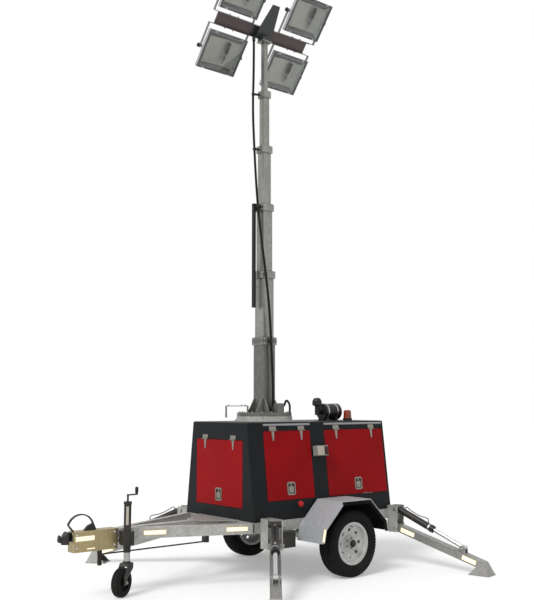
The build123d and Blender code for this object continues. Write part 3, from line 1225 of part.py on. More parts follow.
with BuildPart() as outrigger_brackets:
    for name, side, behind, splay, stand in OUTRIGGERS:
        plane = outrigger_frame(side, behind, splay, stand)
        ends = [plane.from_local_coords(Vector(0, 0, CHEEK_HALF * end)) for end in (1, -1)]
        with BuildSketch(Plane.XY.offset(BRACKET_LOW)):
            with BuildLine():
                Polyline((ends[0].X, ends[0].Y), (ends[1].X, ends[1].Y), (side * RAIL_FACE, ends[1].Y),
                         (side * RAIL_FACE, ends[0].Y), close=True)
            make_face()
            if stand:
                offset(amount=-BRACKET_WALL, mode=Mode.SUBTRACT)
        extrude(amount=BRACKET_HIGH - BRACKET_LOW)
        for end in (1, -1):
            with BuildSketch(plane.offset(end * CHEEK_IN)):
                with BuildLine():
                    Polyline((0, BRACKET_LOW), (0, BRACKET_HIGH), (LEG_PIVOT_OUT + 32, BRACKET_HIGH),
                             (LEG_PIVOT_OUT + 32, CYL_PIVOT_Z - 60), (LEG_PIVOT_OUT + 22, LEG_PIVOT_Z + 60),
                             (LEG_PIVOT_OUT + 32, LEG_PIVOT_Z + 20), (LEG_PIVOT_OUT + 24, BRACKET_LOW),
                             close=True)
                make_face()
            extrude(amount=end * CHEEK_T)
        with BuildSketch(plane):
            with Locations(leg_pivot, cyl_pivot):
                Circle(PIN_R)
        extrude(amount=CHEEK_HALF + 5, both=True)
save(outrigger_brackets.part, "outrigger_brackets")

for name, side, behind, splay, stand in OUTRIGGERS:
    plane = outrigger_frame(side, behind, splay, stand)
    half = LEG_H / 2
    core = half - LEG_WALL
    with BuildPart() as leg:
        foot_plane = Plane(origin=plane.from_local_coords(Vector(FOOT_MIDDLE, 0, 0)),
                           x_dir=plane.x_dir, z_dir=(0, 0, 1))
        shroud_end = LEG_END[0] - FOOT_MIDDLE
        for wall, mode in ((0.0, Mode.ADD), (SHROUD_T, Mode.SUBTRACT)):
            back = 4 * wall
            with BuildSketch(foot_plane.offset(FOOT_T)):
                with Locations(((-back - wall) / 2, 0)):
                    Rectangle(FOOT_L - 2 * FOOT_RIM + back - wall, FOOT_W - 2 * FOOT_RIM - 2 * wall)
            with BuildSketch(foot_plane.offset(LEG_END_Z - LEG_WALL)):
                with Locations((shroud_end - (SHROUD_TOP + back + wall) / 2, 0)):
                    Rectangle(SHROUD_TOP + back - wall, LEG_W - 2 * wall)
            loft(mode=mode)
        with BuildSketch(plane):
            with BuildLine():
                Polyline(leg_point(-LEG_TAIL, -half), leg_point(-LEG_TAIL, half), LEG_END, LEG_TOE, close=True)
            make_face()
        extrude(amount=LEG_W / 2, both=True)
        with BuildSketch(plane):
            with Locations(leg_pivot):
                Circle(BOSS_R)
        extrude(amount=BOSS_END, both=True)
        with BuildSketch(plane):
            with BuildLine():
                Polyline(leg_point(-LEG_TAIL - LEG_WALL, -core), leg_point(-LEG_TAIL - LEG_WALL, core),
                         leg_at_reach(core, LEG_END[0] - LEG_WALL), leg_at_reach(-core, LEG_END[0] - LEG_WALL),
                         close=True)
            make_face()
        extrude(amount=LEG_W / 2 - LEG_WALL, both=True, mode=Mode.SUBTRACT)
        with BuildSketch(plane):
            with Locations(leg_pivot):
                Circle(PIN_R + PIN_GAP)
        extrude(amount=CHEEK_IN, both=True, mode=Mode.SUBTRACT)
        with BuildSketch(foot_plane):
            RectangleRounded(FOOT_L, FOOT_W, FOOT_CORNER_R)
        extrude(amount=FOOT_T)
        for end in (1, -1):
            with BuildSketch(plane.offset(end * LUG_GAP / 2)):
                with BuildLine():
                    Polyline(leg_point(ROD_ALONG - 46, half), leg_point(ROD_ALONG - 20, ROD_RISE + 18),
                             leg_point(ROD_ALONG + 20, ROD_RISE + 18), leg_point(ROD_ALONG + 46, half),
                             close=True)
                make_face()
            extrude(amount=end * LUG_T)
            with BuildSketch(plane.offset(end * (LUG_GAP / 2 + LUG_T))):
                with Locations(rod_pin):
                    Circle(PIN_R)
            extrude(amount=end * 5)
    save(leg.part, f"outrigger_leg_{name}")

    cyl_plane = Plane(origin=plane.from_local_coords(Vector(cyl_pivot[0], cyl_pivot[1], 0)),
                      x_dir=plane.z_dir,
                      z_dir=(plane.x_dir * math.cos(cyl_slope) + Vector(0, 0, math.sin(cyl_slope))))
    with BuildPart() as barrel:
        with BuildSketch(cyl_plane.offset(EYE_R)):
            Circle(BARREL_R)
        extrude(amount=BARREL_LEN - EYE_R)
        with BuildSketch(plane):
            with Locations(cyl_pivot):
                Circle(EYE_R + 4)
        extrude(amount=BOSS_END, both=True)
        with BuildSketch(plane):
            with Locations(cyl_pivot):
                Circle(PIN_R + PIN_GAP)
        extrude(amount=CHEEK_IN, both=True, mode=Mode.SUBTRACT)
        with BuildSketch(cyl_plane.offset(70)):
            Circle(ROD_R + PIN_GAP)
        extrude(amount=BARREL_LEN - 70, mode=Mode.SUBTRACT)
        with BuildSketch(cyl_plane.offset(BARREL_LEN - 34)):
            Circle(BARREL_R + BARREL_COLLAR)
            Circle(ROD_R + PIN_GAP, mode=Mode.SUBTRACT)
        extrude(amount=34)
    save(barrel.part, f"outrigger_barrel_{name}")
    with BuildPart() as rod:
        with BuildSketch(cyl_plane.offset(BARREL_LEN - ROD_OVERLAP)):
            Circle(ROD_R)
        extrude(amount=CYL_LEN - BARREL_LEN + ROD_OVERLAP - EYE_R / 2)
        with BuildSketch(plane):
            with Locations(rod_pin):
                Circle(EYE_R)
        extrude(amount=LUG_GAP / 2 - 2, both=True)
    save(rod.part, f"outrigger_rod_{name}")

print("axle y", round(AXLE_Y, 1), "mast y", round(MAST_Y, 1), "nose y", round(NOSE_Y, 1))
raised = math.radians(LEG_RAISE) - slope
pin_up = (leg_pivot[0] + ROD_ALONG * math.cos(raised) - ROD_RISE * math.sin(raised),
          leg_pivot[1] + ROD_ALONG * math.sin(raised) + ROD_RISE * math.cos(raised))
up_run = (pin_up[0] - cyl_pivot[0], pin_up[1] - cyl_pivot[1])
barrel_turn = math.degrees(math.atan2(up_run[1], up_run[0]) - cyl_slope)
stroke = math.hypot(*up_run) - CYL_LEN
print("barrel turn", round(barrel_turn, 3), "stroke", round(stroke, 2))
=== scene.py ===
"""Looks of a mobile light tower: finishes for its frame, and the fine pieces that go on it."""

import json
import math

import bmesh
import bpy
import numpy as np
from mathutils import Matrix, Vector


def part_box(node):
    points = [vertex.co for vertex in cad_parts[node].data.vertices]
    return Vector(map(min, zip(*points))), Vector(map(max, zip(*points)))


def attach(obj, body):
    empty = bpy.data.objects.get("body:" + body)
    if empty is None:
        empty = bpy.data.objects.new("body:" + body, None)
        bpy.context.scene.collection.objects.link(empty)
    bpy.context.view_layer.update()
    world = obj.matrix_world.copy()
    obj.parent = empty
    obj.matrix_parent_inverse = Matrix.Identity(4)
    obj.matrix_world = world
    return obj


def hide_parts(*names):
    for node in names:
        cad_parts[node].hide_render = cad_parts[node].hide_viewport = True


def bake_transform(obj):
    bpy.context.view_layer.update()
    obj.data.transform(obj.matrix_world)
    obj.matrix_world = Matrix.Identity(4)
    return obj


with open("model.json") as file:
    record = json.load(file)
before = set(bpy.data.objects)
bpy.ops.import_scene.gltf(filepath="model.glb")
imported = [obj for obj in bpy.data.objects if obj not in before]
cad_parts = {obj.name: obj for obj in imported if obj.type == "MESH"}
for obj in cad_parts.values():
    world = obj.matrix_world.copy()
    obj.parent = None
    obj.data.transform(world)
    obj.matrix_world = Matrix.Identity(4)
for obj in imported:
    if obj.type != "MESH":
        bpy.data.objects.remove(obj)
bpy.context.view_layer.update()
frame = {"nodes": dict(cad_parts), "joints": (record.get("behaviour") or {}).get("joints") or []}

bl_info = {
    "name": "Mobile light tower",
    "version": (1, 0, 0),
    "blender": (4, 5, 0),
    "location": "View3D > Sidebar > Light tower",
    "description": "Dresses the light tower with its finishes and fine pieces",
    "category": "Add Mesh",
}


# Places taken from the frame, in metres

def low(node):
    """The lowest corner of a node of the frame."""
    return np.array(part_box(node)[0])


def high(node):
    """The highest corner of a node of the frame."""
    return np.array(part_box(node)[1])


def unit(vector):
    """A vector divided by its own length."""
    vector = np.asarray(vector, float)
    return vector / np.linalg.norm(vector)


JOINTS = {joint["name"]: joint for joint in frame["joints"]}


def pivot(name):
    """The point that a joint turns about."""
    return np.array(JOINTS[name]["pos_m"], float)


UP = np.array((0.0, 0.0, 1.0))
AXLE = pivot("wheel_left_spin")
MAST_X, MAST_Y = pivot("mast_slew")[:2]
CANOPY_LOW = low("canopy_frame")[2]
CANOPY_HALF = high("canopy_frame")[0]
CANOPY_FRONT = low("canopy_roof")[1]
CANOPY_REAR = high("canopy_roof")[1]
ROOF_SEAM = low("canopy_roof")[2]
ROOF_TOP = high("canopy_roof")[2]
ROOF_HALF = high("canopy_roof")[0]
LEAN = math.atan((CANOPY_HALF - ROOF_HALF) / (ROOF_SEAM - CANOPY_LOW))
RAIL_FACE = high("chassis_frame")[0]
TURNTABLE_TOP = high("slew_ring")[2] + 0.0003 + 0.038

# Sizes that the pieces share with the frame
WALL = 0.025
DOOR_GAP = 0.006
HINGE_OUT = 0.0065
HINGE_R = 0.006
HINGE_LEN = 0.084
HINGE_LEAF = 0.034
STRAP_LEN = 0.100
STRAP_TIP = 0.016
STRAP_T = 0.003
LATCH_W = 0.104
LATCH_H = 0.124
LATCH_UP = 0.112
COVER = 0.0006
RUN_GAP = 0.005
MAST_WIDTHS = [0.160, 0.140, 0.120, 0.100, 0.076, 0.052]
COLLAR_H = 0.076
COLLAR_OUT = 0.013
CABLE_R = 0.013
CABLE_OUT = MAST_WIDTHS[0] / 2 + COLLAR_OUT + RUN_GAP + CABLE_R
LAMP_W = 0.500
LAMP_H = 0.420
LAMP_FRONT = 0.060
LAMP_BACK = 0.128
LAMP_SPACING = 0.885
BAR_H = 0.130
BAR_D = 0.062
LEG_PIVOT_Z = pivot("outrigger_front_left")[2]
CYL_RISE = pivot("outrigger_barrel_front_left_turn")[2] - LEG_PIVOT_Z
LEG_W = 0.100
LEG_H = 0.075
LEG_REACH = 1.018
LEG_END_Z = 0.126
LEG_SLOPE = (math.atan(LEG_H / 2 / LEG_REACH)
             + math.asin((LEG_PIVOT_Z - LEG_END_Z) / math.hypot(LEG_REACH, LEG_H / 2)))
CHEEK_HALF = LEG_W / 2 + 0.024
PIN_R = 0.012
ROD_ALONG = LEG_REACH - 0.262
ROD_RISE = 0.082
ROD_R = 0.020
ROD_SHOWN = 0.3625
BARREL_R = 0.036
LUG_OUT = 0.032
NOSE_Y = low("coupling_head")[1] + 0.078
BEAM_HALF = 0.040
RAIL_INSET = 0.055
RAIL_HALF = 0.025
RAIL_FRONT = NOSE_Y + 0.555

CORNERS = ("front_left", "front_right", "rear_left", "rear_right")
SIDES = {"left": 1.0, "right": -1.0}
LEVELS = ("lower", "upper")
SECTIONS = ["mast_base"] + [f"mast_section_{number}" for number in range(1, 6)]
STAGES = ["mast"] + [f"mast_stage_{number}" for number in range(1, 6)]


# Forms: points and faces as whole arrays

class Spot:
    """A place with three unit axes: across, up and out."""

    def __init__(self, origin, across, out):
        self.origin = np.asarray(origin, float)
        self.out = unit(out)
        across = np.asarray(across, float)
        self.across = unit(across - self.out * across.dot(self.out))
        self.up = np.cross(self.out, self.across)

    def points(self, local):
        """Local points: each is the sum of its parts along the three axes, moved to the origin."""
        return np.asarray(local, float) @ np.stack([self.across, self.up, self.out]) + self.origin

    def moved(self, across=0.0, up=0.0, out=0.0):
        """The same axes at another place."""
        return Spot(self.points((across, up, out)), self.across, self.out)

    def turned(self, angle):
        """The same place, with across and up turned about the outward axis."""
        across = self.across * math.cos(angle) + self.up * math.sin(angle)
        return Spot(self.origin, across, self.out)

    def facing_up(self):
        """The same place with its outward axis along the old upward one."""
        return Spot(self.origin, self.across, self.up)

    def facing_down(self):
        """The same place with its outward axis along the old downward one."""
        return Spot(self.origin, self.across, -self.up)

    def facing_back(self):
        """The same place with its outward axis the other way round."""
        return Spot(self.origin, self.across, -self.out)

    def facing_across(self):
        """The same place with its outward axis along the old across one."""
        return Spot(self.origin, self.up, self.across)


class Form:
    """A surface as arrays: points, the corners of all its faces in a row, and each face's count."""

    def __init__(self, points, corners, counts):
        self.points = np.asarray(points, float).reshape(-1, 3)
        self.corners = np.asarray(corners, int)
        self.counts = np.asarray(counts, int)

    def at(self, *spots):
        """The form at each spot: its points times the spot's axes, plus the spot's origin."""
        axes = np.stack([np.stack([spot.across, spot.up, spot.out]) for spot in spots])
        origins = np.stack([spot.origin for spot in spots])
        points = np.einsum("pk,nkj->npj", self.points, axes) + origins[:, None]
        steps = np.arange(len(spots))[:, None] * len(self.points)
        return Form(points, (self.corners + steps).ravel(), np.tile(self.counts, len(spots)))


def together(*forms):
    """One form of many: each one's corner numbers rise by the points that come before it."""
    starts = np.cumsum([0] + [len(form.points) for form in forms[:-1]])
    return Form(np.concatenate([form.points for form in forms]),
                np.concatenate([form.corners + start for form, start in zip(forms, starts)]),
                np.concatenate([form.counts for form in forms]))


def sheet(points, round_rows=False, round_columns=False, ends=False):
    """Faces over a grid of points: corner (i, j) is joined to (i+1, j), (i+1, j+1) and (i, j+1)."""
    rows, columns = points.shape[:2]
    index = np.arange(rows * columns).reshape(rows, columns)
    first, last = index[0, ::-1], index[-1]
    if round_rows:
        index = np.concatenate([index, index[:1]])
    if round_columns:
        index = np.concatenate([index, index[:, :1]], axis=1)
    quads = np.stack([index[:-1, :-1], index[1:, :-1], index[1:, 1:], index[:-1, 1:]], axis=-1)
    corners = quads.ravel()
    counts = np.full(quads.size // 4, 4)
    if ends:
        corners = np.concatenate([corners, first, last])
        counts = np.concatenate([counts, (columns, columns)])
    return Form(points, corners, counts)


def even_angles(count):
    """Angles evenly spaced round a circle: whole numbers times a full turn over their count."""
    return np.arange(count) * 2 * np.pi / count


def circle(radius, sides, turn=0.0):
    """Points on a circle: radius times the cosine and sine of evenly spaced angles."""
    angles = turn + even_angles(sides)
    return np.stack([np.cos(angles), np.sin(angles)], axis=1) * radius


def rounded(width, height, corner, steps=4):
    """A rectangle with quarter circles at its corners: corner centre plus radius times cosine and sine."""
    angles = np.linspace(0, np.pi / 2, steps + 1)[None, :] + np.arange(4)[:, None] * np.pi / 2
    centres = np.array([(1, 1), (-1, 1), (-1, -1), (1, -1)]) * (width / 2 - corner, height / 2 - corner)
    arcs = np.stack([np.cos(angles), np.sin(angles)], axis=-1) * corner
    return (centres[:, None] + arcs).reshape(-1, 2)


def arc(start, middle, end, steps):
    """Points on the circle through three points, at even angles from the first to the last."""
    (ax, ay), (bx, by), (cx, cy) = start, middle, end
    spread = 2 * (ax * (by - cy) + bx * (cy - ay) + cx * (ay - by))
    a2, b2, c2 = ax * ax + ay * ay, bx * bx + by * by, cx * cx + cy * cy
    centre = np.array(((a2 * (by - cy) + b2 * (cy - ay) + c2 * (ay - by)) / spread,
                       (a2 * (cx - bx) + b2 * (ax - cx) + c2 * (bx - ax)) / spread))
    angles = [math.atan2(y - centre[1], x - centre[0]) for x, y in (start, middle, end)]
    whole = np.unwrap(angles)
    line = np.linspace(whole[0], whole[2], steps)
    radius = math.hypot(ax - centre[0], ay - centre[1])
    return centre + radius * np.stack([np.cos(line), np.sin(line)], axis=1)


def level_ring(outline, height):
    """An outline's points, all at one height."""
    return np.column_stack([outline, np.full(len(outline), height)])


def risen(*levels):
    """Outlines of equal count, each at its own height, joined level by level and closed at both ends."""
    points = np.stack([level_ring(*level) for level in levels])
    return sheet(points, round_columns=True, ends=True)


def prism(outline, depth, start=0.0):
    """An outline carried straight along the outward axis."""
    outline = np.asarray(outline, float)
    return risen((outline, start), (outline, start + depth))


def band(outer, inner, depth, start=0.0):
    """The ring between two outlines of equal count, carried along the outward axis."""
    rows = [(outer, start), (outer, start + depth), (inner, start + depth), (inner, start)]
    points = np.stack([level_ring(*row) for row in rows])
    return sheet(points, round_rows=True, round_columns=True)


def turned(profile, sides=24, closed=False):
    """Pairs of radius and height turned round the outward axis: radius times cosine and sine, and height."""
    radius, height = np.asarray(profile, float).T
    angles = even_angles(sides)
    points = np.stack([radius[:, None] * np.cos(angles), radius[:, None] * np.sin(angles),
                       np.repeat(height[:, None], sides, axis=1)], axis=-1)
    return sheet(points, round_rows=closed, round_columns=True, ends=not closed)


def slab(width, height, corner, depth, edge=0.001):
    """A rounded plate whose front edge is cut back by a small bevel."""
    full = rounded(width, height, corner)
    front = rounded(width - 2 * edge, height - 2 * edge, max(corner - edge, edge / 2))
    return risen((full, 0.0), (full, depth - edge), (front, depth))


def pipe(path, radius, sides=12, beside=(0.0, 0.0, 1.0)):
    """A circle carried along a path: each ring lies in the plane across the path's own direction."""
    path = np.asarray(path, float)
    along = np.gradient(path, axis=0)
    along /= np.linalg.norm(along, axis=1)[:, None]
    first = np.cross(along, np.asarray(beside, float))
    first /= np.linalg.norm(first, axis=1)[:, None]
    second = np.cross(along, first)
    angles = even_angles(sides)
    radii = np.broadcast_to(radius, len(path))[:, None, None]
    rings = (first[:, None] * np.cos(angles)[:, None] + second[:, None] * np.sin(angles)[:, None]) * radii
    return sheet(path[:, None] + rings, round_columns=True, ends=True)


def bolt(size):
    """A hexagon head with its washer and stud end; size is the radius over its corners."""
    washer = turned([(size * 1.25, 0.0), (size * 1.25, size * 0.18), (size * 1.15, size * 0.22)], 12)
    head = risen((circle(size, 6), size * 0.2), (circle(size, 6), size * 0.85),
                 (circle(size * 0.86, 6), size))
    stud = turned([(size * 0.48, size * 0.9), (size * 0.48, size * 1.3), (size * 0.38, size * 1.4)], 8)
    return together(washer, head, stud)


def rivet(size):
    """A low dome; size is its radius."""
    return turned([(size, 0.0), (size * 0.92, size * 0.28), (size * 0.6, size * 0.48),
                   (size * 0.15, size * 0.56)],
                  10)


def smooth_route(points):
    """The points of a smooth line that has the given points as its controls."""
    curve = bpy.data.curves.new("route", "CURVE")
    curve.dimensions = "3D"
    curve.resolution_u = 10
    spline = curve.splines.new("NURBS")
    spline.points.add(len(points) - 1)
    spline.points.foreach_set("co", np.column_stack([points, np.ones(len(points))]).ravel())
    spline.order_u = 3
    spline.use_endpoint_u = True
    holder = bpy.data.objects.new("route", curve)
    bpy.context.scene.collection.objects.link(holder)
    mesh = bpy.data.meshes.new_from_object(holder)
    line = np.zeros(len(mesh.vertices) * 3)
    mesh.vertices.foreach_get("co", line)
    bpy.data.objects.remove(holder)
    bpy.data.curves.remove(curve)
    bpy.data.meshes.remove(mesh)
    return line.reshape(-1, 3)


FINISHES = {}
SMOOTH_ANGLE = math.radians(32.0)


def make_piece(name, form, finish, body, smooth=SMOOTH_ANGLE):
    """A mesh object made of one form, faces outwards, that rides on a body and takes a slot."""
    mesh = bpy.data.meshes.new(name)
    mesh.vertices.add(len(form.points))
    mesh.vertices.foreach_set("co", form.points.ravel())
    mesh.loops.add(len(form.corners))
    mesh.loops.foreach_set("vertex_index", form.corners)
    mesh.polygons.add(len(form.counts))
    mesh.polygons.foreach_set("loop_start", np.cumsum(form.counts) - form.counts)
    mesh.update(calc_edges=True)
    shell = bmesh.new()
    shell.from_mesh(mesh)
    bmesh.ops.recalc_face_normals(shell, faces=shell.faces)
    shell.to_mesh(mesh)
    shell.free()
    mesh.polygons.foreach_set("use_smooth", np.ones(len(mesh.polygons), bool))
    mesh.set_sharp_from_angle(angle=smooth)
    mesh.materials.append(FINISHES[finish])
    made = bpy.data.objects.new(name, mesh)
    bpy.context.scene.collection.objects.link(made)
    if body is not None:
        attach(made, body)
    return made


def plated_piece(name, form, body):
    """A piece of bright zinc plated steel."""
    return make_piece(name, form, "bright zinc", body)


def plastic_piece(name, form, body):
    """A piece of black plastic."""
    return make_piece(name, form, "black plastic", body)


# Places on the object

def level_spot(origin):
    """A place whose outward axis points up."""
    return Spot(origin, (1.0, 0.0, 0.0), UP)


def side_spot(side, out, along, height):
    """A place that faces away from the trailer's middle on one side."""
    return Spot((side * out, along, height), (0.0, 1.0, 0.0), (side, 0.0, 0.0))


def four_spots(spot, across, up, out=0.0):
    """The four places at both sides of a spot, below and above it."""
    return [spot.moved(x * across, y * up, out) for x in (-1, 1) for y in (-1, 1)]


def wall_spot(side):
    """The lower middle of a canopy side's outer face."""
    out = (side * math.cos(LEAN), 0.0, math.sin(LEAN))
    return Spot((side * CANOPY_HALF, 0.0, CANOPY_LOW), (0.0, side, 0.0), out)


FRONT_WALL = Spot((0.0, CANOPY_FRONT, CANOPY_LOW), (1.0, 0.0, 0.0), (0.0, -1.0, 0.0))
REAR_WALL = Spot((0.0, CANOPY_REAR, CANOPY_LOW), (-1.0, 0.0, 0.0), (0.0, 1.0, 0.0))


class Door:
    """A door's hinge line on the outer face of its wall, its leaf's width and its opening's drop."""

    def __init__(self, name, wall, side):
        pin = pivot(f"door_{name}_lift")
        lean = LEAN if side else 0.0
        rise = (pin[2] - CANOPY_LOW - HINGE_OUT * math.sin(lean)) / math.cos(lean)
        lowest, highest = low(f"door_{name}"), high(f"door_{name}")
        foot = (lowest[2] - CANOPY_LOW + WALL * math.sin(lean)) / math.cos(lean)
        self.name = name
        self.node = f"door_{name}"
        self.body = f"door_body_{name}"
        self.width = highest[1] - lowest[1] if side else highest[0] - lowest[0]
        self.drop = rise - foot + DOOR_GAP
        self.spot = wall.moved(side * pin[1], rise)

    def hinges(self):
        """The places of both hinges on the hinge line."""
        reach = (self.width + 2 * DOOR_GAP) * 0.3
        return [self.spot.moved(-reach), self.spot.moved(reach)]


DOORS = [Door("front", FRONT_WALL, 0.0)]
DOORS += [Door(f"{name}_{end}", wall_spot(side), side) for name,
          side in SIDES.items() for end in ("front", "rear")]


class Outrigger:
    """An outrigger's places: its leg's axes from the pivot, and its cylinder's from its own pin."""

    def __init__(self, name):
        self.name = name
        self.centre = pivot(f"outrigger_{name}")
        normal = np.array(JOINTS[f"outrigger_{name}"]["axis"], float)
        outward = np.array((-normal[1], normal[0], 0.0))
        along = outward * math.cos(LEG_SLOPE) - UP * math.sin(LEG_SLOPE)
        self.upright = Spot(self.centre, outward, normal)
        self.leg = Spot(self.centre, along, normal)
        self.pin = self.centre + UP * CYL_RISE
        self.eye = self.leg.points((ROD_ALONG, ROD_RISE, 0.0))
        self.cylinder = Spot(self.pin, self.eye - self.pin, normal)
        self.barrel = np.linalg.norm(self.eye - self.pin) - ROD_SHOWN


OUTRIGGERS = [Outrigger(name) for name in CORNERS]
LAMP_RISE = unit(pivot("lamps_upper_tilt") - pivot("lamps_lower_tilt"))
LAMP_FACING = np.cross(np.array((0.0, 1.0, 0.0)), LAMP_RISE)
BAR_SPOT = Spot((pivot("lamps_upper_tilt") + pivot("lamps_lower_tilt")) / 2, (0.0, 1.0, 0.0), LAMP_FACING)


def lamp_spots(level):
    """The middles of the two lamps of a level, on their tilting axis."""
    centre = Spot(pivot(f"lamps_{level}_tilt"), (0.0, 1.0, 0.0), LAMP_FACING)
    return [centre.moved(-LAMP_SPACING / 2), centre.moved(LAMP_SPACING / 2)]


def section_top(number):
    """The height of the top of a mast tube; the light bar's parts don't count."""
    return high(SECTIONS[number])[2]


# Settings

def colour(name, what, value):
    """A colour that a user may change."""
    return bpy.props.FloatVectorProperty(name=name, description=what, default=value, subtype="COLOR",
                                         size=3, min=0.0, max=1.0)


def length(name, what, value):
    """A length that a user may change, in metres."""
    return bpy.props.FloatProperty(name=name, description=what, default=value, min=0.0, unit="LENGTH")


class LightTowerColours(bpy.types.PropertyGroup):
    """Colours of the tower's finishes."""

    canopy: colour("Canopy", "Dark slate paint of the canopy", (0.0095, 0.0115, 0.0130))
    door: colour("Doors", "Red paint of the doors", (0.285, 0.004, 0.006))
    zinc: colour("Galvanising", "Hot dipped zinc of the chassis", (0.440, 0.438, 0.415))
    leg: colour("Outrigger legs", "Darker zinc of the outrigger legs", (0.310, 0.310, 0.300))
    fender: colour("Fenders", "Zinc coated sheet of the fenders", (0.430, 0.450, 0.470))
    mast: colour("Mast", "Dull zinc of the mast tubes", (0.275, 0.277, 0.256))
    mast_base: colour("Outer mast tube", "Darker zinc of the outer mast tube", (0.150, 0.150, 0.140))
    passivate: colour("Coupling zinc", "Yellow passivated zinc of the coupling", (0.390, 0.320, 0.165))
    bright: colour("Bright zinc", "Small zinc plated parts", (0.400, 0.400, 0.390))
    black: colour("Black paint", "Jockey wheel, brake lever and cylinders", (0.012, 0.012, 0.013))
    rubber: colour("Rubber", "Tyres and seals", (0.0070, 0.0070, 0.0070))
    rim: colour("Rims", "White paint of the rims", (0.600, 0.610, 0.595))
    lamp: colour("Lamp housings", "Grey paint of the floodlights", (0.400, 0.420, 0.418))
    bar: colour("Light bar", "Dark paint of the bar between the floodlights", (0.110, 0.076, 0.077))
    amber: colour("Beacon", "Amber dome of the beacon", (0.300, 0.034, 0.006))
    film: colour("Reflective film", "Pale middle of the reflective strips", (1.000, 0.930, 0.700))
    film_edge: colour("Film border", "Gold border of the reflective strips", (0.560, 0.380, 0.060))


class LightTowerSizes(bpy.types.PropertyGroup):
    """Sizes of the tower's fine pieces."""

    tread: length("Tread depth", "Depth of the grooves in the tyres", 0.008)
    bolt: length("Bolt", "Radius of a common bolt head over its corners", 0.009)
    rivet: length("Rivet", "Radius of a rivet in the canopy", 0.006)
    film_border: length("Strip border", "Gold border round a reflective strip", 0.004)


class LightTowerStage(bpy.types.PropertyGroup):
    """Camera and lights."""

    focal: bpy.props.FloatProperty(name="Focal length", description="In millimetres on a 36 mm sensor",
                                   default=51.46, min=1.0)
    turn: bpy.props.FloatProperty(name="Camera turn", description="Camera's heading about the upright axis",
                                  default=math.radians(50.436), subtype="ANGLE")
    tilt: bpy.props.FloatProperty(name="Camera tilt", description="Camera's rise above level",
                                  default=math.radians(6.979), subtype="ANGLE")
    place: bpy.props.FloatVectorProperty(name="Camera place", description="Where the camera stands",
                                         default=(6.981, -5.3895, 1.673), subtype="TRANSLATION", size=3)
    sun: bpy.props.FloatProperty(name="Key light", description="Strength of the key light", default=1.9,
                                 min=0.0)
    sky: bpy.props.FloatProperty(name="Fill light", description="Strength of the light from all round",
                                 default=0.52, min=0.0)
    floor: length("Floor", "Radius of the floor", 60.0)


# Nodes

def feed(tree, source, socket):
    """Links a socket to another, or writes a plain value into it."""
    if isinstance(source, bpy.types.NodeSocket):
        tree.links.new(source, socket)
    else:
        socket.default_value = source


def add(tree, kind, inputs=(), **settings):
    """A node with its settings, and its inputs fed by name."""
    made = tree.nodes.new(kind)
    for name, value in settings.items():
        setattr(made, name, value)
    for name, value in dict(inputs).items():
        feed(tree, value, made.inputs[name])
    return made


def mixed(tree, share, first, second, blend="MIX"):
    """A mix of two colours."""
    made = add(tree, "ShaderNodeMix", data_type="RGBA", blend_type=blend)
    feed(tree, share, made.inputs[0])
    feed(tree, first, made.inputs[6])
    feed(tree, second, made.inputs[7])
    return made.outputs[2]


def worked(tree, operation, first, second=0.0):
    """Two values put through one operation, such as a sum or a product."""
    made = add(tree, "ShaderNodeMath", operation=operation)
    feed(tree, first, made.inputs[0])
    feed(tree, second, made.inputs[1])
    return made.outputs[0]


def ramped(tree, value, start, end, first=0.0, second=1.0):
    """A value stretched from one range to another, and held at its ends."""
    made = add(tree, "ShaderNodeMapRange",
               {"From Min": start, "From Max": end, "To Min": first, "To Max": second})
    feed(tree, value, made.inputs["Value"])
    return made.outputs["Result"]


def own_place(tree):
    """The object's own coordinates."""
    return add(tree, "ShaderNodeTexCoord").outputs["Object"]


def clouds_at(tree, place, scale, detail):
    """Noise at a place."""
    made = add(tree, "ShaderNodeTexNoise", {"Vector": place, "Scale": scale, "Detail": detail})
    return made.outputs["Fac"]


def noise(tree, scale, detail=4.0, stretch=(1.0, 1.0, 1.0)):
    """Noise on the object's own coordinates, stretched along each axis."""
    place = own_place(tree)
    if stretch != (1.0, 1.0, 1.0):
        place = add(tree, "ShaderNodeMapping", {"Vector": place, "Scale": stretch}).outputs[0]
    return clouds_at(tree, place, scale, detail)


def new_effect(name, inputs, outputs):
    """An empty node group with named inputs and outputs, its entry and its way out."""
    tree = bpy.data.node_groups.new(name, "ShaderNodeTree")
    for label, value in inputs:
        tree.interface.new_socket(label, in_out="INPUT", socket_type="NodeSocketFloat").default_value = value
    for label in outputs:
        tree.interface.new_socket(label, in_out="OUTPUT", socket_type="NodeSocketFloat")
    return tree, tree.nodes.new("NodeGroupInput").outputs, tree.nodes.new("NodeGroupOutput").inputs


def make_edge_wear():
    """Edge wear: where a rounded normal leaves the true one, broken up by noise."""
    tree, entry, way_out = new_effect("Edge wear", [("Width", 0.004), ("Coarseness", 40.0), ("Amount", 0.7)],
                                      ["Mask"])
    soft = add(tree, "ShaderNodeBevel", {"Radius": entry["Width"]}, samples=4).outputs[0]
    true = add(tree, "ShaderNodeNewGeometry").outputs["Normal"]
    dot = add(tree, "ShaderNodeVectorMath", operation="DOT_PRODUCT")
    feed(tree, soft, dot.inputs[0])
    feed(tree, true, dot.inputs[1])
    bend = worked(tree, "SUBTRACT", 1.0, dot.outputs["Value"])
    place = own_place(tree)
    grain = clouds_at(tree, place, entry["Coarseness"], 6.0)
    edge = ramped(tree, bend, 0.015, 0.14)
    broken = ramped(tree, grain, 0.42, 0.62)
    feed(tree, worked(tree, "MULTIPLY", worked(tree, "MULTIPLY", edge, broken), entry["Amount"]),
         way_out["Mask"])
    return tree


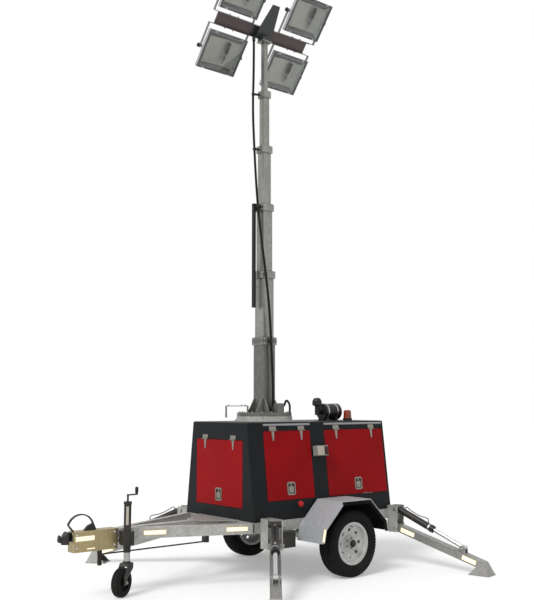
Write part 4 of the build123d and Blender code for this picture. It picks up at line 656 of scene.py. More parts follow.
def make_dust():
    """Dust: thick near the ground and on faces that look up, broken up by noise."""
    tree, entry, way_out = new_effect("Road dust", [("Reach", 0.8), ("Coarseness", 7.0), ("Amount", 0.4)],
                                      ["Mask"])
    place = own_place(tree)
    height = add(tree, "ShaderNodeSeparateXYZ", {"Vector": place}).outputs["Z"]
    share = worked(tree, "DIVIDE", height, entry["Reach"])
    ground = ramped(tree, share, 0.0, 1.0, 1.0, 0.0)
    normal = add(tree, "ShaderNodeNewGeometry").outputs["Normal"]
    facing = add(tree, "ShaderNodeSeparateXYZ", {"Vector": normal}).outputs["Z"]
    settled = ramped(tree, facing, 0.55, 1.0, 0.0, 0.55)
    grain = clouds_at(tree, place, entry["Coarseness"], 8.0)
    patch = ramped(tree, grain, 0.38, 0.66, 0.15, 1.0)
    both = worked(tree, "MAXIMUM", ground, settled)
    feed(tree, worked(tree, "MULTIPLY", worked(tree, "MULTIPLY", both, patch), entry["Amount"]),
         way_out["Mask"])
    return tree


def make_spangle():
    """Zinc spangle: cells of even shade at two scales, with a fine grain as height."""
    tree, entry, way_out = new_effect("Zinc spangle", [("Scale", 45.0)], ["Shade", "Height"])
    place = own_place(tree)
    cells = add(tree, "ShaderNodeTexVoronoi", {"Vector": place, "Scale": entry["Scale"]})
    cell = add(tree, "ShaderNodeSeparateColor", {"Color": cells.outputs["Color"]}).outputs[0]
    broad = clouds_at(tree, place, 3.5, 5.0)
    fine = clouds_at(tree, place, 380.0, 2.0)
    cloud = ramped(tree, broad, 0.3, 0.7)
    shade = worked(tree, "ADD", worked(tree, "MULTIPLY", cell, 0.55), worked(tree, "MULTIPLY", cloud, 0.45))
    feed(tree, shade, way_out["Shade"])
    feed(tree, worked(tree, "ADD", worked(tree, "MULTIPLY", cell, 0.4), fine), way_out["Height"])
    return tree


def make_peel():
    """Orange peel of sprayed paint: soft low waves as height, and slow clouds as shade."""
    tree, entry, way_out = new_effect("Paint skin", [("Scale", 160.0)], ["Shade", "Height"])
    place = own_place(tree)
    feed(tree, clouds_at(tree, place, entry["Scale"], 1.5), way_out["Height"])
    feed(tree, ramped(tree, clouds_at(tree, place, 2.2, 3.0), 0.3, 0.7), way_out["Shade"])
    return tree


def make_streaks():
    """Rain marks: noise drawn out along the upright axis."""
    tree, entry, way_out = new_effect("Rain marks", [("Coarseness", 26.0), ("Amount", 0.3)], ["Mask"])
    place = own_place(tree)
    drawn = add(tree, "ShaderNodeMapping", {"Vector": place, "Scale": (1.0, 1.0, 0.05)}).outputs[0]
    marks = ramped(tree, clouds_at(tree, drawn, entry["Coarseness"], 6.0), 0.5, 0.72)
    feed(tree, worked(tree, "MULTIPLY", marks, entry["Amount"]), way_out["Mask"])
    return tree


EFFECTS = {}


def effect(tree, name, **inputs):
    """An effect's group placed in a tree, with its own values."""
    made = add(tree, "ShaderNodeGroup", node_tree=EFFECTS[name])
    for label, value in inputs.items():
        feed(tree, value, made.inputs[label])
    return made.outputs


class Finish:
    """A material being made: its tree, and the one shader that its colours and masks feed."""

    def __init__(self, name, **plain):
        self.material = bpy.data.materials.new(name)
        self.material.use_nodes = True
        self.tree = self.material.node_tree
        self.shader = self.tree.nodes["Principled BSDF"]
        for label, value in plain.items():
            self.shader.inputs[label.replace("_", " ")].default_value = value

    def set(self, label, source):
        """Feeds one input of the shader."""
        feed(self.tree, source, self.shader.inputs[label])

    def bump(self, height, strength, distance):
        """A bump from a height."""
        made = add(self.tree, "ShaderNodeBump",
                   {"Height": height, "Strength": strength, "Distance": distance})
        self.set("Normal", made.outputs[0])

    def tinted(self, base, shade, low_share, high_share):
        """The base colour times a grey that follows a shade."""
        grey = ramped(self.tree, shade, 0.0, 1.0, low_share, high_share)
        return mixed(self.tree, 1.0, (*base, 1.0), grey, "MULTIPLY")


DUST = (0.235, 0.205, 0.165, 1.0)
BARE_STEEL = (0.33, 0.32, 0.30, 1.0)


def zinc_finish(name, base, scale, contrast, dust, roughness, metal=0.82):
    """Hot dipped zinc: spangle, rain marks, dust below and brighter rubbed edges."""
    made = Finish(name, Metallic=metal)
    tree = made.tree
    spangle = effect(tree, "spangle", Scale=scale)
    wear = effect(tree, "wear", Width=0.003, Coarseness=55.0, Amount=0.5)["Mask"]
    dirt = effect(tree, "dust", Reach=0.9, Coarseness=6.0, Amount=dust)["Mask"]
    marks = effect(tree, "streaks", Coarseness=30.0, Amount=0.35)["Mask"]
    body = made.tinted(base, spangle["Shade"], 1.0 - contrast, 1.0 + contrast)
    body = mixed(tree, marks, body, (base[0] * 0.62, base[1] * 0.6, base[2] * 0.56, 1.0))
    body = mixed(tree, wear, body, (0.62, 0.63, 0.64, 1.0))
    made.set("Base Color", mixed(tree, dirt, body, DUST))
    rough = ramped(tree, spangle["Shade"], 0.0, 1.0, roughness + 0.1, roughness - 0.06)
    made.set("Roughness", worked(tree, "ADD", rough, worked(tree, "MULTIPLY", dirt, 0.35)))
    made.set("Metallic", ramped(tree, dirt, 0.0, 0.6, metal, metal * 0.3))
    made.bump(spangle["Height"], 0.12, 0.0006)
    return made.material


def paint_finish(name, base, roughness, coat, dust, chips, under=BARE_STEEL, gloss=0.35):
    """Sprayed paint: orange peel, slow shade, rain marks, dust, and chips that show what lies under it."""
    made = Finish(name, Coat_Roughness=0.12, Specular_IOR_Level=gloss)
    tree = made.tree
    skin = effect(tree, "peel", Scale=150.0)
    wear = effect(tree, "wear", Width=0.0035, Coarseness=70.0, Amount=chips)["Mask"]
    dirt = effect(tree, "dust", Reach=1.1, Coarseness=5.0, Amount=dust)["Mask"]
    marks = effect(tree, "streaks", Coarseness=22.0, Amount=0.22)["Mask"]
    body = made.tinted(base, skin["Shade"], 0.9, 1.1)
    body = mixed(tree, marks, body, tuple(part * 0.7 + 0.012 for part in base) + (1.0,))
    body = mixed(tree, wear, body, under)
    made.set("Base Color", mixed(tree, dirt, body, DUST))
    rough = ramped(tree, skin["Shade"], 0.0, 1.0, roughness - 0.03, roughness + 0.04)
    made.set("Roughness", worked(tree, "ADD", rough, worked(tree, "MULTIPLY", dirt, 0.5)))
    made.set("Coat Weight", ramped(tree, dirt, 0.0, 0.5, coat, 0.0))
    made.set("Metallic", worked(tree, "MULTIPLY", wear, 0.7))
    made.bump(skin["Height"], 0.05, 0.0004)
    return made.material


def bar_finish(name, base, plate):
    """Bar paint that turns to the head plate's colour: a mask of the distance from the mast's axis."""
    material = paint_finish(name, base, 0.4, 0.1, 0.1, 0.4)
    tree = material.node_tree
    entry = tree.nodes["Principled BSDF"].inputs["Base Color"]
    node = frame["nodes"]["light_bar"]
    place = own_place(tree)
    along = add(tree, "ShaderNodeSeparateXYZ", {"Vector": place}).outputs["Y"]
    away = worked(tree, "ABSOLUTE",
                  worked(tree, "SUBTRACT", along, MAST_Y - node.matrix_world.translation[1]))
    share = ramped(tree, away, 0.125, 0.150)
    feed(tree, mixed(tree, share, (*plate, 1.0), entry.links[0].from_socket), entry)
    return material


def rubber_finish(name, base, roughness, dust, grain):
    """Rubber: fine grain, pale bloom and dust."""
    made = Finish(name, Specular_IOR_Level=0.12)
    tree = made.tree
    cloud = noise(tree, 9.0, 6.0)
    fine = noise(tree, grain, 3.0)
    dirt = effect(tree, "dust", Reach=0.7, Coarseness=9.0, Amount=dust)["Mask"]
    body = made.tinted(base, cloud, 0.6, 1.5)
    made.set("Base Color", mixed(tree, dirt, body, (0.10, 0.09, 0.078, 1.0)))
    made.set("Roughness", ramped(tree, cloud, 0.3, 0.7, roughness - 0.08, roughness + 0.08))
    made.bump(fine, 0.25, 0.0006)
    return made.material


def plastic_finish(name, base, roughness, grain=260.0, dust=0.2):
    """Moulded plastic: a fine leather grain, and dust on top."""
    made = Finish(name, Specular_IOR_Level=0.3)
    tree = made.tree
    cloud = noise(tree, 6.0, 4.0)
    fine = noise(tree, grain, 2.0)
    dirt = effect(tree, "dust", Reach=0.6, Coarseness=9.0, Amount=dust)["Mask"]
    body = made.tinted(base, cloud, 0.88, 1.1)
    made.set("Base Color", mixed(tree, dirt, body, DUST))
    made.set("Roughness", ramped(tree, cloud, 0.3, 0.7, roughness - 0.05, roughness + 0.06))
    made.bump(fine, 0.15, 0.0004)
    return made.material


def plated_finish(name, base, roughness, drawn=(1.0, 1.0, 1.0), dust=0.15):
    """Plated steel: fine drawn marks and a slight tarnish."""
    made = Finish(name, Metallic=1.0)
    tree = made.tree
    lines = noise(tree, 120.0, 3.0, drawn)
    cloud = noise(tree, 7.0, 5.0)
    dirt = effect(tree, "dust", Reach=0.7, Coarseness=8.0, Amount=dust)["Mask"]
    body = made.tinted(base, cloud, 0.82, 1.12)
    made.set("Base Color", mixed(tree, dirt, body, DUST))
    made.set("Roughness", ramped(tree, lines, 0.25, 0.75, roughness - 0.06, roughness + 0.1))
    made.set("Metallic", ramped(tree, dirt, 0.0, 0.5, 1.0, 0.3))
    made.bump(lines, 0.08, 0.0003)
    return made.material


def film_finish(name, base, painted_glow=0.0):
    """Reflective film: small prism cells under a clear skin, a little scuffed, with a painted glow in its
    own colour that brightens it beyond the light it gets.
    """
    made = Finish(name, Coat_Weight=0.6, Coat_Roughness=0.12, Emission_Color=(*base, 1.0),
                  Emission_Strength=painted_glow)
    tree = made.tree
    place = own_place(tree)
    cells = add(tree, "ShaderNodeTexVoronoi", {"Vector": place, "Scale": 260.0}, feature="DISTANCE_TO_EDGE")
    edge = ramped(tree, cells.outputs["Distance"], 0.0, 0.09)
    scuff = ramped(tree, noise(tree, 34.0, 8.0), 0.56, 0.74)
    body = made.tinted(base, edge, 0.84, 1.04)
    made.set("Base Color", mixed(tree, worked(tree, "MULTIPLY", scuff, 0.45), body, (0.30, 0.27, 0.20, 1.0)))
    made.set("Roughness", ramped(tree, scuff, 0.0, 1.0, 0.22, 0.5))
    made.bump(edge, 0.2, 0.0003)
    return made.material


def glass_finish(name, base, roughness=0.02):
    """Clear glass with a faint film of dust on its gloss."""
    made = Finish(name, Base_Color=(*base, 1.0), Transmission_Weight=1.0, IOR=1.46)
    haze = noise(made.tree, 11.0, 6.0)
    made.set("Roughness", ramped(made.tree, haze, 0.35, 0.75, roughness, roughness + 0.08))
    return made.material


def lens_finish(name, base, ribs):
    """A coloured plastic lens: clear coat, and fine prism ribs."""
    made = Finish(name, Coat_Weight=0.3, Coat_Roughness=0.1, Transmission_Weight=0.25, IOR=1.49)
    tree = made.tree
    cloud = noise(tree, 14.0, 3.0)
    made.set("Base Color", made.tinted(base, cloud, 0.85, 1.15))
    made.set("Roughness", ramped(tree, cloud, 0.3, 0.7, 0.12, 0.2))
    made.bump(noise(tree, ribs, 0.0, (1.0, 1.0, 4.0)), 0.2, 0.0006)
    return made.material


def reflector_finish(name, base):
    """Satin aluminium sheet: a slow cloud of dust, and a faint dimple."""
    made = Finish(name, Metallic=0.7)
    tree = made.tree
    place = own_place(tree)
    cells = add(tree, "ShaderNodeTexVoronoi", {"Vector": place, "Scale": 60.0}, feature="SMOOTH_F1")
    cloud = noise(tree, 5.0, 4.0)
    made.set("Base Color", made.tinted(base, ramped(tree, cloud, 0.3, 0.7), 0.84, 1.12))
    made.set("Roughness", ramped(tree, cloud, 0.3, 0.7, 0.34, 0.5))
    made.bump(cells.outputs["Distance"], 0.12, 0.001)
    return made.material


def foam_finish():
    """Open foam that lines the doors: cells at two scales."""
    made = Finish("Foam lining", Sheen_Weight=0.3)
    tree = made.tree
    place = own_place(tree)
    cells = add(tree, "ShaderNodeTexVoronoi", {"Vector": place, "Scale": 180.0}).outputs["Distance"]
    made.set("Base Color", made.tinted((0.045, 0.045, 0.048), cells, 0.4, 1.6))
    made.set("Roughness", ramped(tree, cells, 0.0, 1.0, 0.85, 1.0))
    made.bump(cells, 0.8, 0.003)
    return made.material


# Nodes of the frame and the finish that each one takes
FRAME_FINISHES = {
    "galvanised": ["chassis_frame", "drawbar_rails", "drawbar_beam", "axle_beam", "outrigger_brackets",
                   "slew_ring"],
    "leg zinc": [f"outrigger_leg_{name}" for name in CORNERS],
    "fender": ["fenders"],
    "mast base": SECTIONS[:1],
    "mast": SECTIONS[1:],
    "passivated": ["coupling_housing"],
    "black paint": ["coupling_head", "brake_linkage", "jockey_tube", "jockey_fork", "leaf_springs",
                    "mast_rod",
                    "battery_box"] + [f"outrigger_barrel_{name}" for name in CORNERS],
    "canopy": ["canopy_frame", "canopy_roof"],
    "door": [door.node for door in DOORS],
    "engine": ["engine_block"],
    "black plastic": ["air_cleaner", "beacon_base"],
    "socket grey": ["outlet_box"],
    "amber": ["beacon_lens"],
    "lamp red": ["tail_lamps"],
    "rim": ["rim_left", "rim_right"],
    "tyre": ["tyre_left", "tyre_right"],
    "bright zinc": ["jockey_inner"],
    "yoke": ["lamp_yokes"],
    "jockey tyre": ["jockey_wheel"],
    "chrome": [f"outrigger_rod_{name}" for name in CORNERS],
    "cable": ["mast_cable"],
    "light bar": ["light_bar"],
    "lamp": ["lamp_housings_lower", "lamp_housings_upper"],
    "glass": ["lamp_glass_lower", "lamp_glass_upper"],
}


class LIGHTTOWER_OT_finishes(bpy.types.Operator):
    """Makes every finish and gives each node of the frame its own"""

    bl_idname = "lighttower.finishes"
    bl_label = "Finishes"

    def execute(self, context):
        colours = context.scene.light_tower_colours
        EFFECTS.update(wear=make_edge_wear(), dust=make_dust(), spangle=make_spangle(), peel=make_peel(),
                       streaks=make_streaks())
        FINISHES.update({
            "galvanised": zinc_finish("Galvanised steel", colours.zinc, 48.0, 0.22, 0.22, 0.42, 0.5),
            "leg zinc": zinc_finish("Leg steel", colours.leg, 48.0, 0.2, 0.15, 0.4, 0.6),
            "fender": zinc_finish("Fender sheet", colours.fender, 36.0, 0.10, 0.08, 0.5, 0.35),
            "mast base": zinc_finish("Outer mast steel", colours.mast_base, 30.0, 0.16, 0.05, 0.4),
            "mast": zinc_finish("Mast steel", colours.mast, 30.0, 0.16, 0.05, 0.36),
            "passivated": zinc_finish("Yellow zinc", colours.passivate, 90.0, 0.14, 0.3, 0.34),
            "canopy": paint_finish("Canopy paint", colours.canopy, 0.42, 0.0, 0.04, 0.25, gloss=0.1),
            # Pale grey paint for the door gutters: a painted highlight of the roof's rounded edge
            "roof edge": paint_finish("Roof edge", (0.30, 0.30, 0.315), 0.35, 0.3, 0.0, 0.1),
            "door": paint_finish("Door paint", colours.door, 0.45, 0.0, 0.02, 0.2, gloss=0.07),
            "rim": paint_finish("Rim paint", colours.rim, 0.35, 0.2, 0.12, 0.2),
            "lamp": paint_finish("Lamp paint", colours.lamp, 0.4, 0.2, 0.1, 0.3),
            "light bar": bar_finish("Bar paint", colours.bar, (0.042, 0.046, 0.046)),
            "black paint": paint_finish("Black paint", colours.black, 0.42, 0.1, 0.25, 0.4, gloss=0.25),
            # Near black matt sheets in the wheel arches: painted shade where the arches lie in shadow
            "arch black": paint_finish("Wheel arch coating", (0.006, 0.006, 0.006), 0.9, 0.0, 0.1, 0.0,
                                       gloss=0.05),
            "engine": paint_finish("Engine paint", (0.06, 0.065, 0.07), 0.5, 0.0, 0.4, 0.4),
            "black plastic": plastic_finish("Black plastic", colours.black, 0.42),
            "socket grey": plastic_finish("Grey plastic", (0.235, 0.240, 0.225), 0.42, 300.0, 0.1),
            "red plastic": plastic_finish("Red plastic", (0.50, 0.010, 0.012), 0.3, 300.0, 0.05),
            "socket brown": plastic_finish("Brown plastic", (0.055, 0.016, 0.012), 0.4, 300.0, 0.05),
            "pale plate": plastic_finish("Blank plate", (0.50, 0.46, 0.38), 0.4, 90.0, 0.1),
            "tyre": rubber_finish("Tyre rubber", colours.rubber, 0.8, 0.16, 500.0),
            "jockey tyre": rubber_finish("Jockey tyre", colours.rubber, 0.75, 0.12, 400.0),
            "seal": rubber_finish("Rubber seal", (0.008, 0.008, 0.009), 0.6, 0.1, 300.0),
            "cable": rubber_finish("Cable sheath", (0.009, 0.009, 0.010), 0.45, 0.05, 300.0),
            "chrome": plated_finish("Chromed rod", (0.62, 0.62, 0.63), 0.14, (1.0, 1.0, 1.0), 0.1),
            "bright zinc": plated_finish("Zinc plate", colours.bright, 0.34),
            "latch": plated_finish("Latch steel", (0.26, 0.245, 0.215), 0.4),
            "yoke": zinc_finish("Yoke steel", (0.20, 0.205, 0.200), 60.0, 0.12, 0.0, 0.45),
            "lamp frame": paint_finish("Lamp frame paint", (0.105, 0.115, 0.112), 0.45, 0.0, 0.0, 0.3),
            # The pale film glows with a painted glow, which lifts the strips out of shade
            "film": film_finish("Reflective film", colours.film, 0.45),
            "film edge": film_finish("Film border", colours.film_edge),
            "glass": glass_finish("Lamp glass", (0.93, 0.96, 0.95)),
            "bulb": glass_finish("Bulb glass", (0.70, 0.72, 0.70), 0.08),
            "amber": lens_finish("Amber lens", colours.amber, 30.0),
            "lamp red": lens_finish("Red lens", (0.42, 0.010, 0.010), 90.0),
            "reflector": reflector_finish("Reflector", (0.300, 0.292, 0.272)),
            # A paler, warmer copy of the reflector's satin aluminium for one half of each fold: painted
            # light on that half
            "reflector plate": reflector_finish("Reflector plate", (0.385, 0.370, 0.325)),
            "foam": foam_finish(),
        })
        for finish, nodes in FRAME_FINISHES.items():
            for node in nodes:
                target = frame["nodes"][node]
                for place in target.material_slots:
                    place.material = FINISHES[finish]
                if not target.material_slots:
                    target.data.materials.append(FINISHES[finish])
        return {"FINISHED"}


# Wheels

TREAD_STEPS = 5
TREAD_BLOCKS = 64
SIDE_BANDS = (0.222, 0.247, 0.283)
SIDE_BAND_OUT = 0.0945
HUB_FACE = 0.028
HUB_END = 0.066
NUT_COUNT = 5
NUT_CIRCLE = 0.052
VALVE_FOOT = (0.0, 0.168, 0.020)
VALVE_TIP = (0.0, 0.160, 0.056)


def tyre_form(depth):
    """A tyre's section turned round its axle, with grooves round its crown and gaps across it.

    The radius is the section's own, less the depth where a groove or a gap runs at that angle."""
    crown, outer, flange, bead, seat = 0.0975, high("tyre_left")[2] - AXLE[2], 0.208, 0.1903, 0.0687
    side = np.concatenate([
        arc((seat, flange), (crown, 0.2625), (crown - 0.012, outer - 0.024), 12),
        arc((crown - 0.012, outer - 0.024), (crown - 0.019, outer - 0.009), (crown - 0.034, outer - 0.003),
            6)[1:]])
    ribs = [(0.063, 0.0), (0.058, 0.0), (0.0565, 1.0), (0.0475, 1.0), (0.046, 0.0), (0.024, 0.0),
            (0.0225, 1.0), (0.0135, 1.0), (0.012, 0.0)]
    across = np.array([place for place, cut in ribs])
    cuts = np.array([cut for place, cut in ribs])
    across = np.concatenate([across, -across[::-1]])
    cuts = np.concatenate([cuts, cuts[::-1]])
    crown_radius = outer - 0.003 * (across / 0.0635) ** 2
    left = side * (-1.0, 1.0)
    section = np.concatenate([side, np.column_stack([across, crown_radius]), left[::-1],
                              [(-seat, bead), (seat, bead)]])
    groove = np.concatenate([np.zeros(len(side)), cuts, np.zeros(len(side)), (0.0, 0.0)])
    shoulder = np.concatenate([np.zeros(len(side) - 5), np.ones(5), np.abs(across) > 0.05,
                               np.ones(5), np.zeros(len(side) - 5), (0.0, 0.0)])
    middle = np.concatenate([np.zeros(len(side)), (np.abs(across) < 0.047) & (np.abs(across) > 0.023),
                             np.zeros(len(side) + 2)])
    steps = np.arange(TREAD_STEPS * TREAD_BLOCKS)
    angles = steps * 2 * np.pi / len(steps)
    gap = (steps % TREAD_STEPS == 0)[:, None] * shoulder + (steps % TREAD_STEPS == 2)[:, None] * middle * 0.6
    radius = section[None, :, 1] - depth * np.maximum(groove[None, :], gap)
    points = np.stack([radius * np.cos(angles)[:, None], radius * np.sin(angles)[:, None],
                       np.broadcast_to(section[:, 0], radius.shape)], axis=-1)
    return sheet(points, round_rows=True, round_columns=True)


class LIGHTTOWER_OT_tyres(bpy.types.Operator):
    """Adds the tyres with their road tread"""

    bl_idname = "lighttower.tyres"
    bl_label = "Tyres"

    def execute(self, context):
        form = tyre_form(context.scene.light_tower_sizes.tread)
        bands = together(*[turned([(r, 0.0), (r + 0.0016, 0.0012), (r + 0.0032, 0.0)], 96, closed=True)
                           for r in SIDE_BANDS])
        for name, side in SIDES.items():
            spot = side_spot(side, *AXLE)
            tyre = make_piece(f"road_tyre_{name}", form.at(spot), "tyre", f"wheel_{name}")
            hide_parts(f"tyre_{name}")
            faces = [spot.moved(out=SIDE_BAND_OUT), spot.moved(out=-SIDE_BAND_OUT).facing_back()]
            make_piece(f"tyre_side_bands_{name}", bands.at(*faces), "tyre", f"wheel_{name}")
        return {"FINISHED"}


class LIGHTTOWER_OT_wheel_fittings(bpy.types.Operator):
    """Adds wheel nuts, the hub's dust cap and the tyre valve"""

    bl_idname = "lighttower.wheel_fittings"
    bl_label = "Wheel fittings"

    def execute(self, context):
        washer = turned([(0.0135, 0.0), (0.0135, 0.003)], 16)
        nut = risen((circle(0.011, 6), 0.003), (circle(0.011, 6), 0.015), (circle(0.0085, 6), 0.018))
        stud = turned([(0.006, 0.016), (0.006, 0.024), (0.0045, 0.026)], 10)
        nuts = together(washer, nut, stud)
        cap = turned([(0.0335, -0.004), (0.0335, 0.002), (0.029, 0.004), (0.028, 0.018), (0.024, 0.024),
                      (0.012, 0.028), (0.002, 0.029)], 32)
        ring = turned([(0.0355, 0.0), (0.0355, 0.006), (0.033, 0.008), (0.031, 0.0)], 32, closed=True)
        for name, side in SIDES.items():
            hub = side_spot(side, *AXLE)
            face = hub.moved(out=HUB_FACE)
            turns = even_angles(NUT_COUNT)
            spots = [face.turned(turn).moved(NUT_CIRCLE) for turn in turns]
            body = f"wheel_{name}"
            plated_piece(f"wheel_nuts_{name}", nuts.at(*spots), body)
            hub_cap = together(cap, ring).at(hub.moved(out=HUB_END))
            plastic_piece(f"hub_cap_{name}", hub_cap, body)
            foot = hub.points(VALVE_FOOT)
            tip = hub.points(VALVE_TIP)
            stem = pipe(np.linspace(foot, tip, 5), (0.005, 0.0045, 0.004, 0.0042, 0.0042), 10, hub.across)
            valve_cap = turned([(0.0052, 0.0), (0.0052, 0.010), (0.0035, 0.012)], 10)
            valve = together(stem, valve_cap.at(Spot(tip, hub.across, tip - foot)))
            plastic_piece(f"tyre_valve_{name}", valve, body)
        return {"FINISHED"}


# Canopy and doors

RIVET_EDGE = 0.048
RIVET_ROWS = (0.10, 0.80)
RIVET_REACH = 0.46
ARCH_REACH = 0.42
GUTTER_R = 0.0105
GUTTER_RISE = 0.009
GUTTER_FOOT = 0.008
GUTTER_DROP = 0.026


class LIGHTTOWER_OT_canopy_rivets(bpy.types.Operator):
    """Adds the rivets along the canopy's edges"""

    bl_idname = "lighttower.canopy_rivets"
    bl_label = "Canopy rivets"

    def execute(self, context):
        form = rivet(context.scene.light_tower_sizes.rivet)
        edge, rows = RIVET_EDGE, np.linspace(*RIVET_ROWS, 5)
        spots = []
        for wall in (FRONT_WALL, REAR_WALL):
            spots += [wall.moved(x, edge) for x in np.linspace(-RIVET_REACH, RIVET_REACH, 5)]
            spots += [wall.moved(end * (CANOPY_HALF - edge - rise * math.tan(LEAN)), rise)
                      for end in (-1, 1) for rise in rows]
        for side in SIDES.values():
            wall = wall_spot(side)
            run = np.linspace(CANOPY_FRONT + edge, CANOPY_REAR - edge, 9)
            spots += [wall.moved(side * y, edge) for y in run if abs(y - AXLE[1]) > ARCH_REACH]
            spots += [wall.moved(side * y, rise) for y in (run[0], run[-1]) for rise in rows[1:]]
        make_piece("canopy_rivets", form.at(*spots), "canopy", "trailer")
        return {"FINISHED"}


class LIGHTTOWER_OT_canopy_trim(bpy.types.Operator):
    """Adds the seal in the roof's seam, and the gutters over the side doors in pale grey paint: a painted
    highlight along the roof's edge
    """

    bl_idname = "lighttower.canopy_trim"
    bl_label = "Canopy trim"

    def execute(self, context):
        length_y = CANOPY_REAR - CANOPY_FRONT
        centre = level_spot((0.0, (CANOPY_FRONT + CANOPY_REAR) / 2, ROOF_SEAM))
        corner = 0.018
        outer = rounded(2 * ROOF_HALF + 0.0016, length_y + 0.0016, corner)
        inner = rounded(2 * ROOF_HALF - 0.012, length_y - 0.012, corner - 0.006)
        seam = band(outer, inner, 0.0024, -0.0012).at(centre)
        make_piece("roof_seam_seal", seam, "seal", "trailer")
        angles = np.linspace(0.0, np.pi, 13)
        swell = np.column_stack([GUTTER_R * np.cos(angles), GUTTER_RISE * np.sin(angles)])
        section = np.concatenate([swell, [(-GUTTER_R, -GUTTER_FOOT), (GUTTER_R, -GUTTER_FOOT)]])
        rise = (ROOF_TOP - GUTTER_DROP - CANOPY_LOW) / math.cos(LEAN)
        beads = []
        for door in DOORS[1:]:
            x, y, _ = door.spot.origin
            wall = wall_spot(math.copysign(1.0, x))
            middle = wall.moved(wall.across[1] * y, rise)
            bead = prism(section, door.width, -door.width / 2)
            beads.append(bead.at(Spot(middle.origin, middle.up, middle.across)))
        # The gutters take pale grey paint, a painted highlight along the roof's edge over each side door
        make_piece("door_gutters", together(*beads), "roof edge", "trailer")
        return {"FINISHED"}


# The fender's outer line and its inner web, along the trailer from the axle and above the ground
FENDER_LINE = np.array([(-0.475, 0.372), (-0.445, 0.512), (-0.205, 0.745), (0.195, 0.745),
                        (0.425, 0.520), (0.445, 0.420)])
FENDER_WEB = np.array([(-0.410, 0.476), (-0.410, 0.546), (-0.205, 0.745), (0.195, 0.745),
                       (0.400, 0.544), (0.400, 0.476)])
# Shares and offsets of the black sheets of painted shade in the arches and on the skirt
ARCH_SHADE_SHARES = (0.989, 0.984)
SKIRT_SHARES = (0.984, 0.900)
WEB_SHARE = 0.983
WEB_OUT = 0.0045
ARCH_SHADE_BACK = 0.0065


def towards_hub(outline, share):
    """An outline shrunk towards the axle: the axle's place plus a share of the way to each point."""
    hub = np.array((0.0, AXLE[2]))
    return hub + (outline - hub) * share


class LIGHTTOWER_OT_wheel_arches(bpy.types.Operator):
    """Adds black sheets inside the fenders and on the upper skirt: painted shade where the wheel arches lie
    in shadow
    """

    bl_idname = "lighttower.wheel_arches"
    bl_label = "Painted wheel arch shade"

    def execute(self, context):
        outside, inside = ARCH_SHADE_SHARES
        strip = np.concatenate([towards_hub(FENDER_LINE, outside), towards_hub(FENDER_LINE, inside)[::-1]])
        wide = high("fenders")[0] - ARCH_SHADE_BACK - RAIL_FACE - WEB_OUT
        rear = FENDER_LINE[2:]
        outside, inside = SKIRT_SHARES
        skirt = np.concatenate([towards_hub(rear, outside), towards_hub(rear, inside)[::-1]])
        forms = []
        for side in SIDES.values():
            edge = side_spot(side, high("fenders")[0], AXLE[1], 0.0)
            forms.append(prism(skirt * (1.0, side), 0.0008).at(edge))
            face = side_spot(side, RAIL_FACE + WEB_OUT, AXLE[1], 0.0)
            for outline, depth in ((strip, wide), (towards_hub(FENDER_WEB, WEB_SHARE), 0.001)):
                forms.append(prism(outline * (1.0, side), depth).at(face))
        make_piece("wheel_arch_linings", together(*forms), "arch black", "trailer")
        return {"FINISHED"}


class LIGHTTOWER_OT_door_seals(bpy.types.Operator):
    """Adds a rubber seal in the gap round each door"""

    bl_idname = "lighttower.door_seals"
    bl_label = "Door seals"

    def execute(self, context):
        for door in DOORS:
            wide, tall = door.width + 2 * DOOR_GAP, door.drop
            outer = rounded(wide - 0.0006, tall - 0.0006, 0.0157, 6)
            inner = rounded(wide - 0.010, tall - 0.010, 0.011, 6)
            form = band(outer, inner, 0.010, -0.018)
            make_piece(f"seal_{door.name}", form.at(door.spot.moved(0.0, -tall / 2)), "seal", "trailer")
        return {"FINISHED"}


STRAP_SCREWS = (0.034, 0.060, STRAP_LEN - 0.010)


def strap_outline(grow):
    """A hinge strap's outline: as wide as its knuckle at the pin, and tapering to a round tip."""
    half = HINGE_LEN / 4 - 0.0003 - COVER / 2
    tip = STRAP_TIP / 2 + grow
    round_end = circle(tip, 16, np.pi)[:9] + (0.0, tip - STRAP_LEN - grow)
    return np.concatenate([[(-half, HINGE_R)], round_end, [(half, HINGE_R)]])


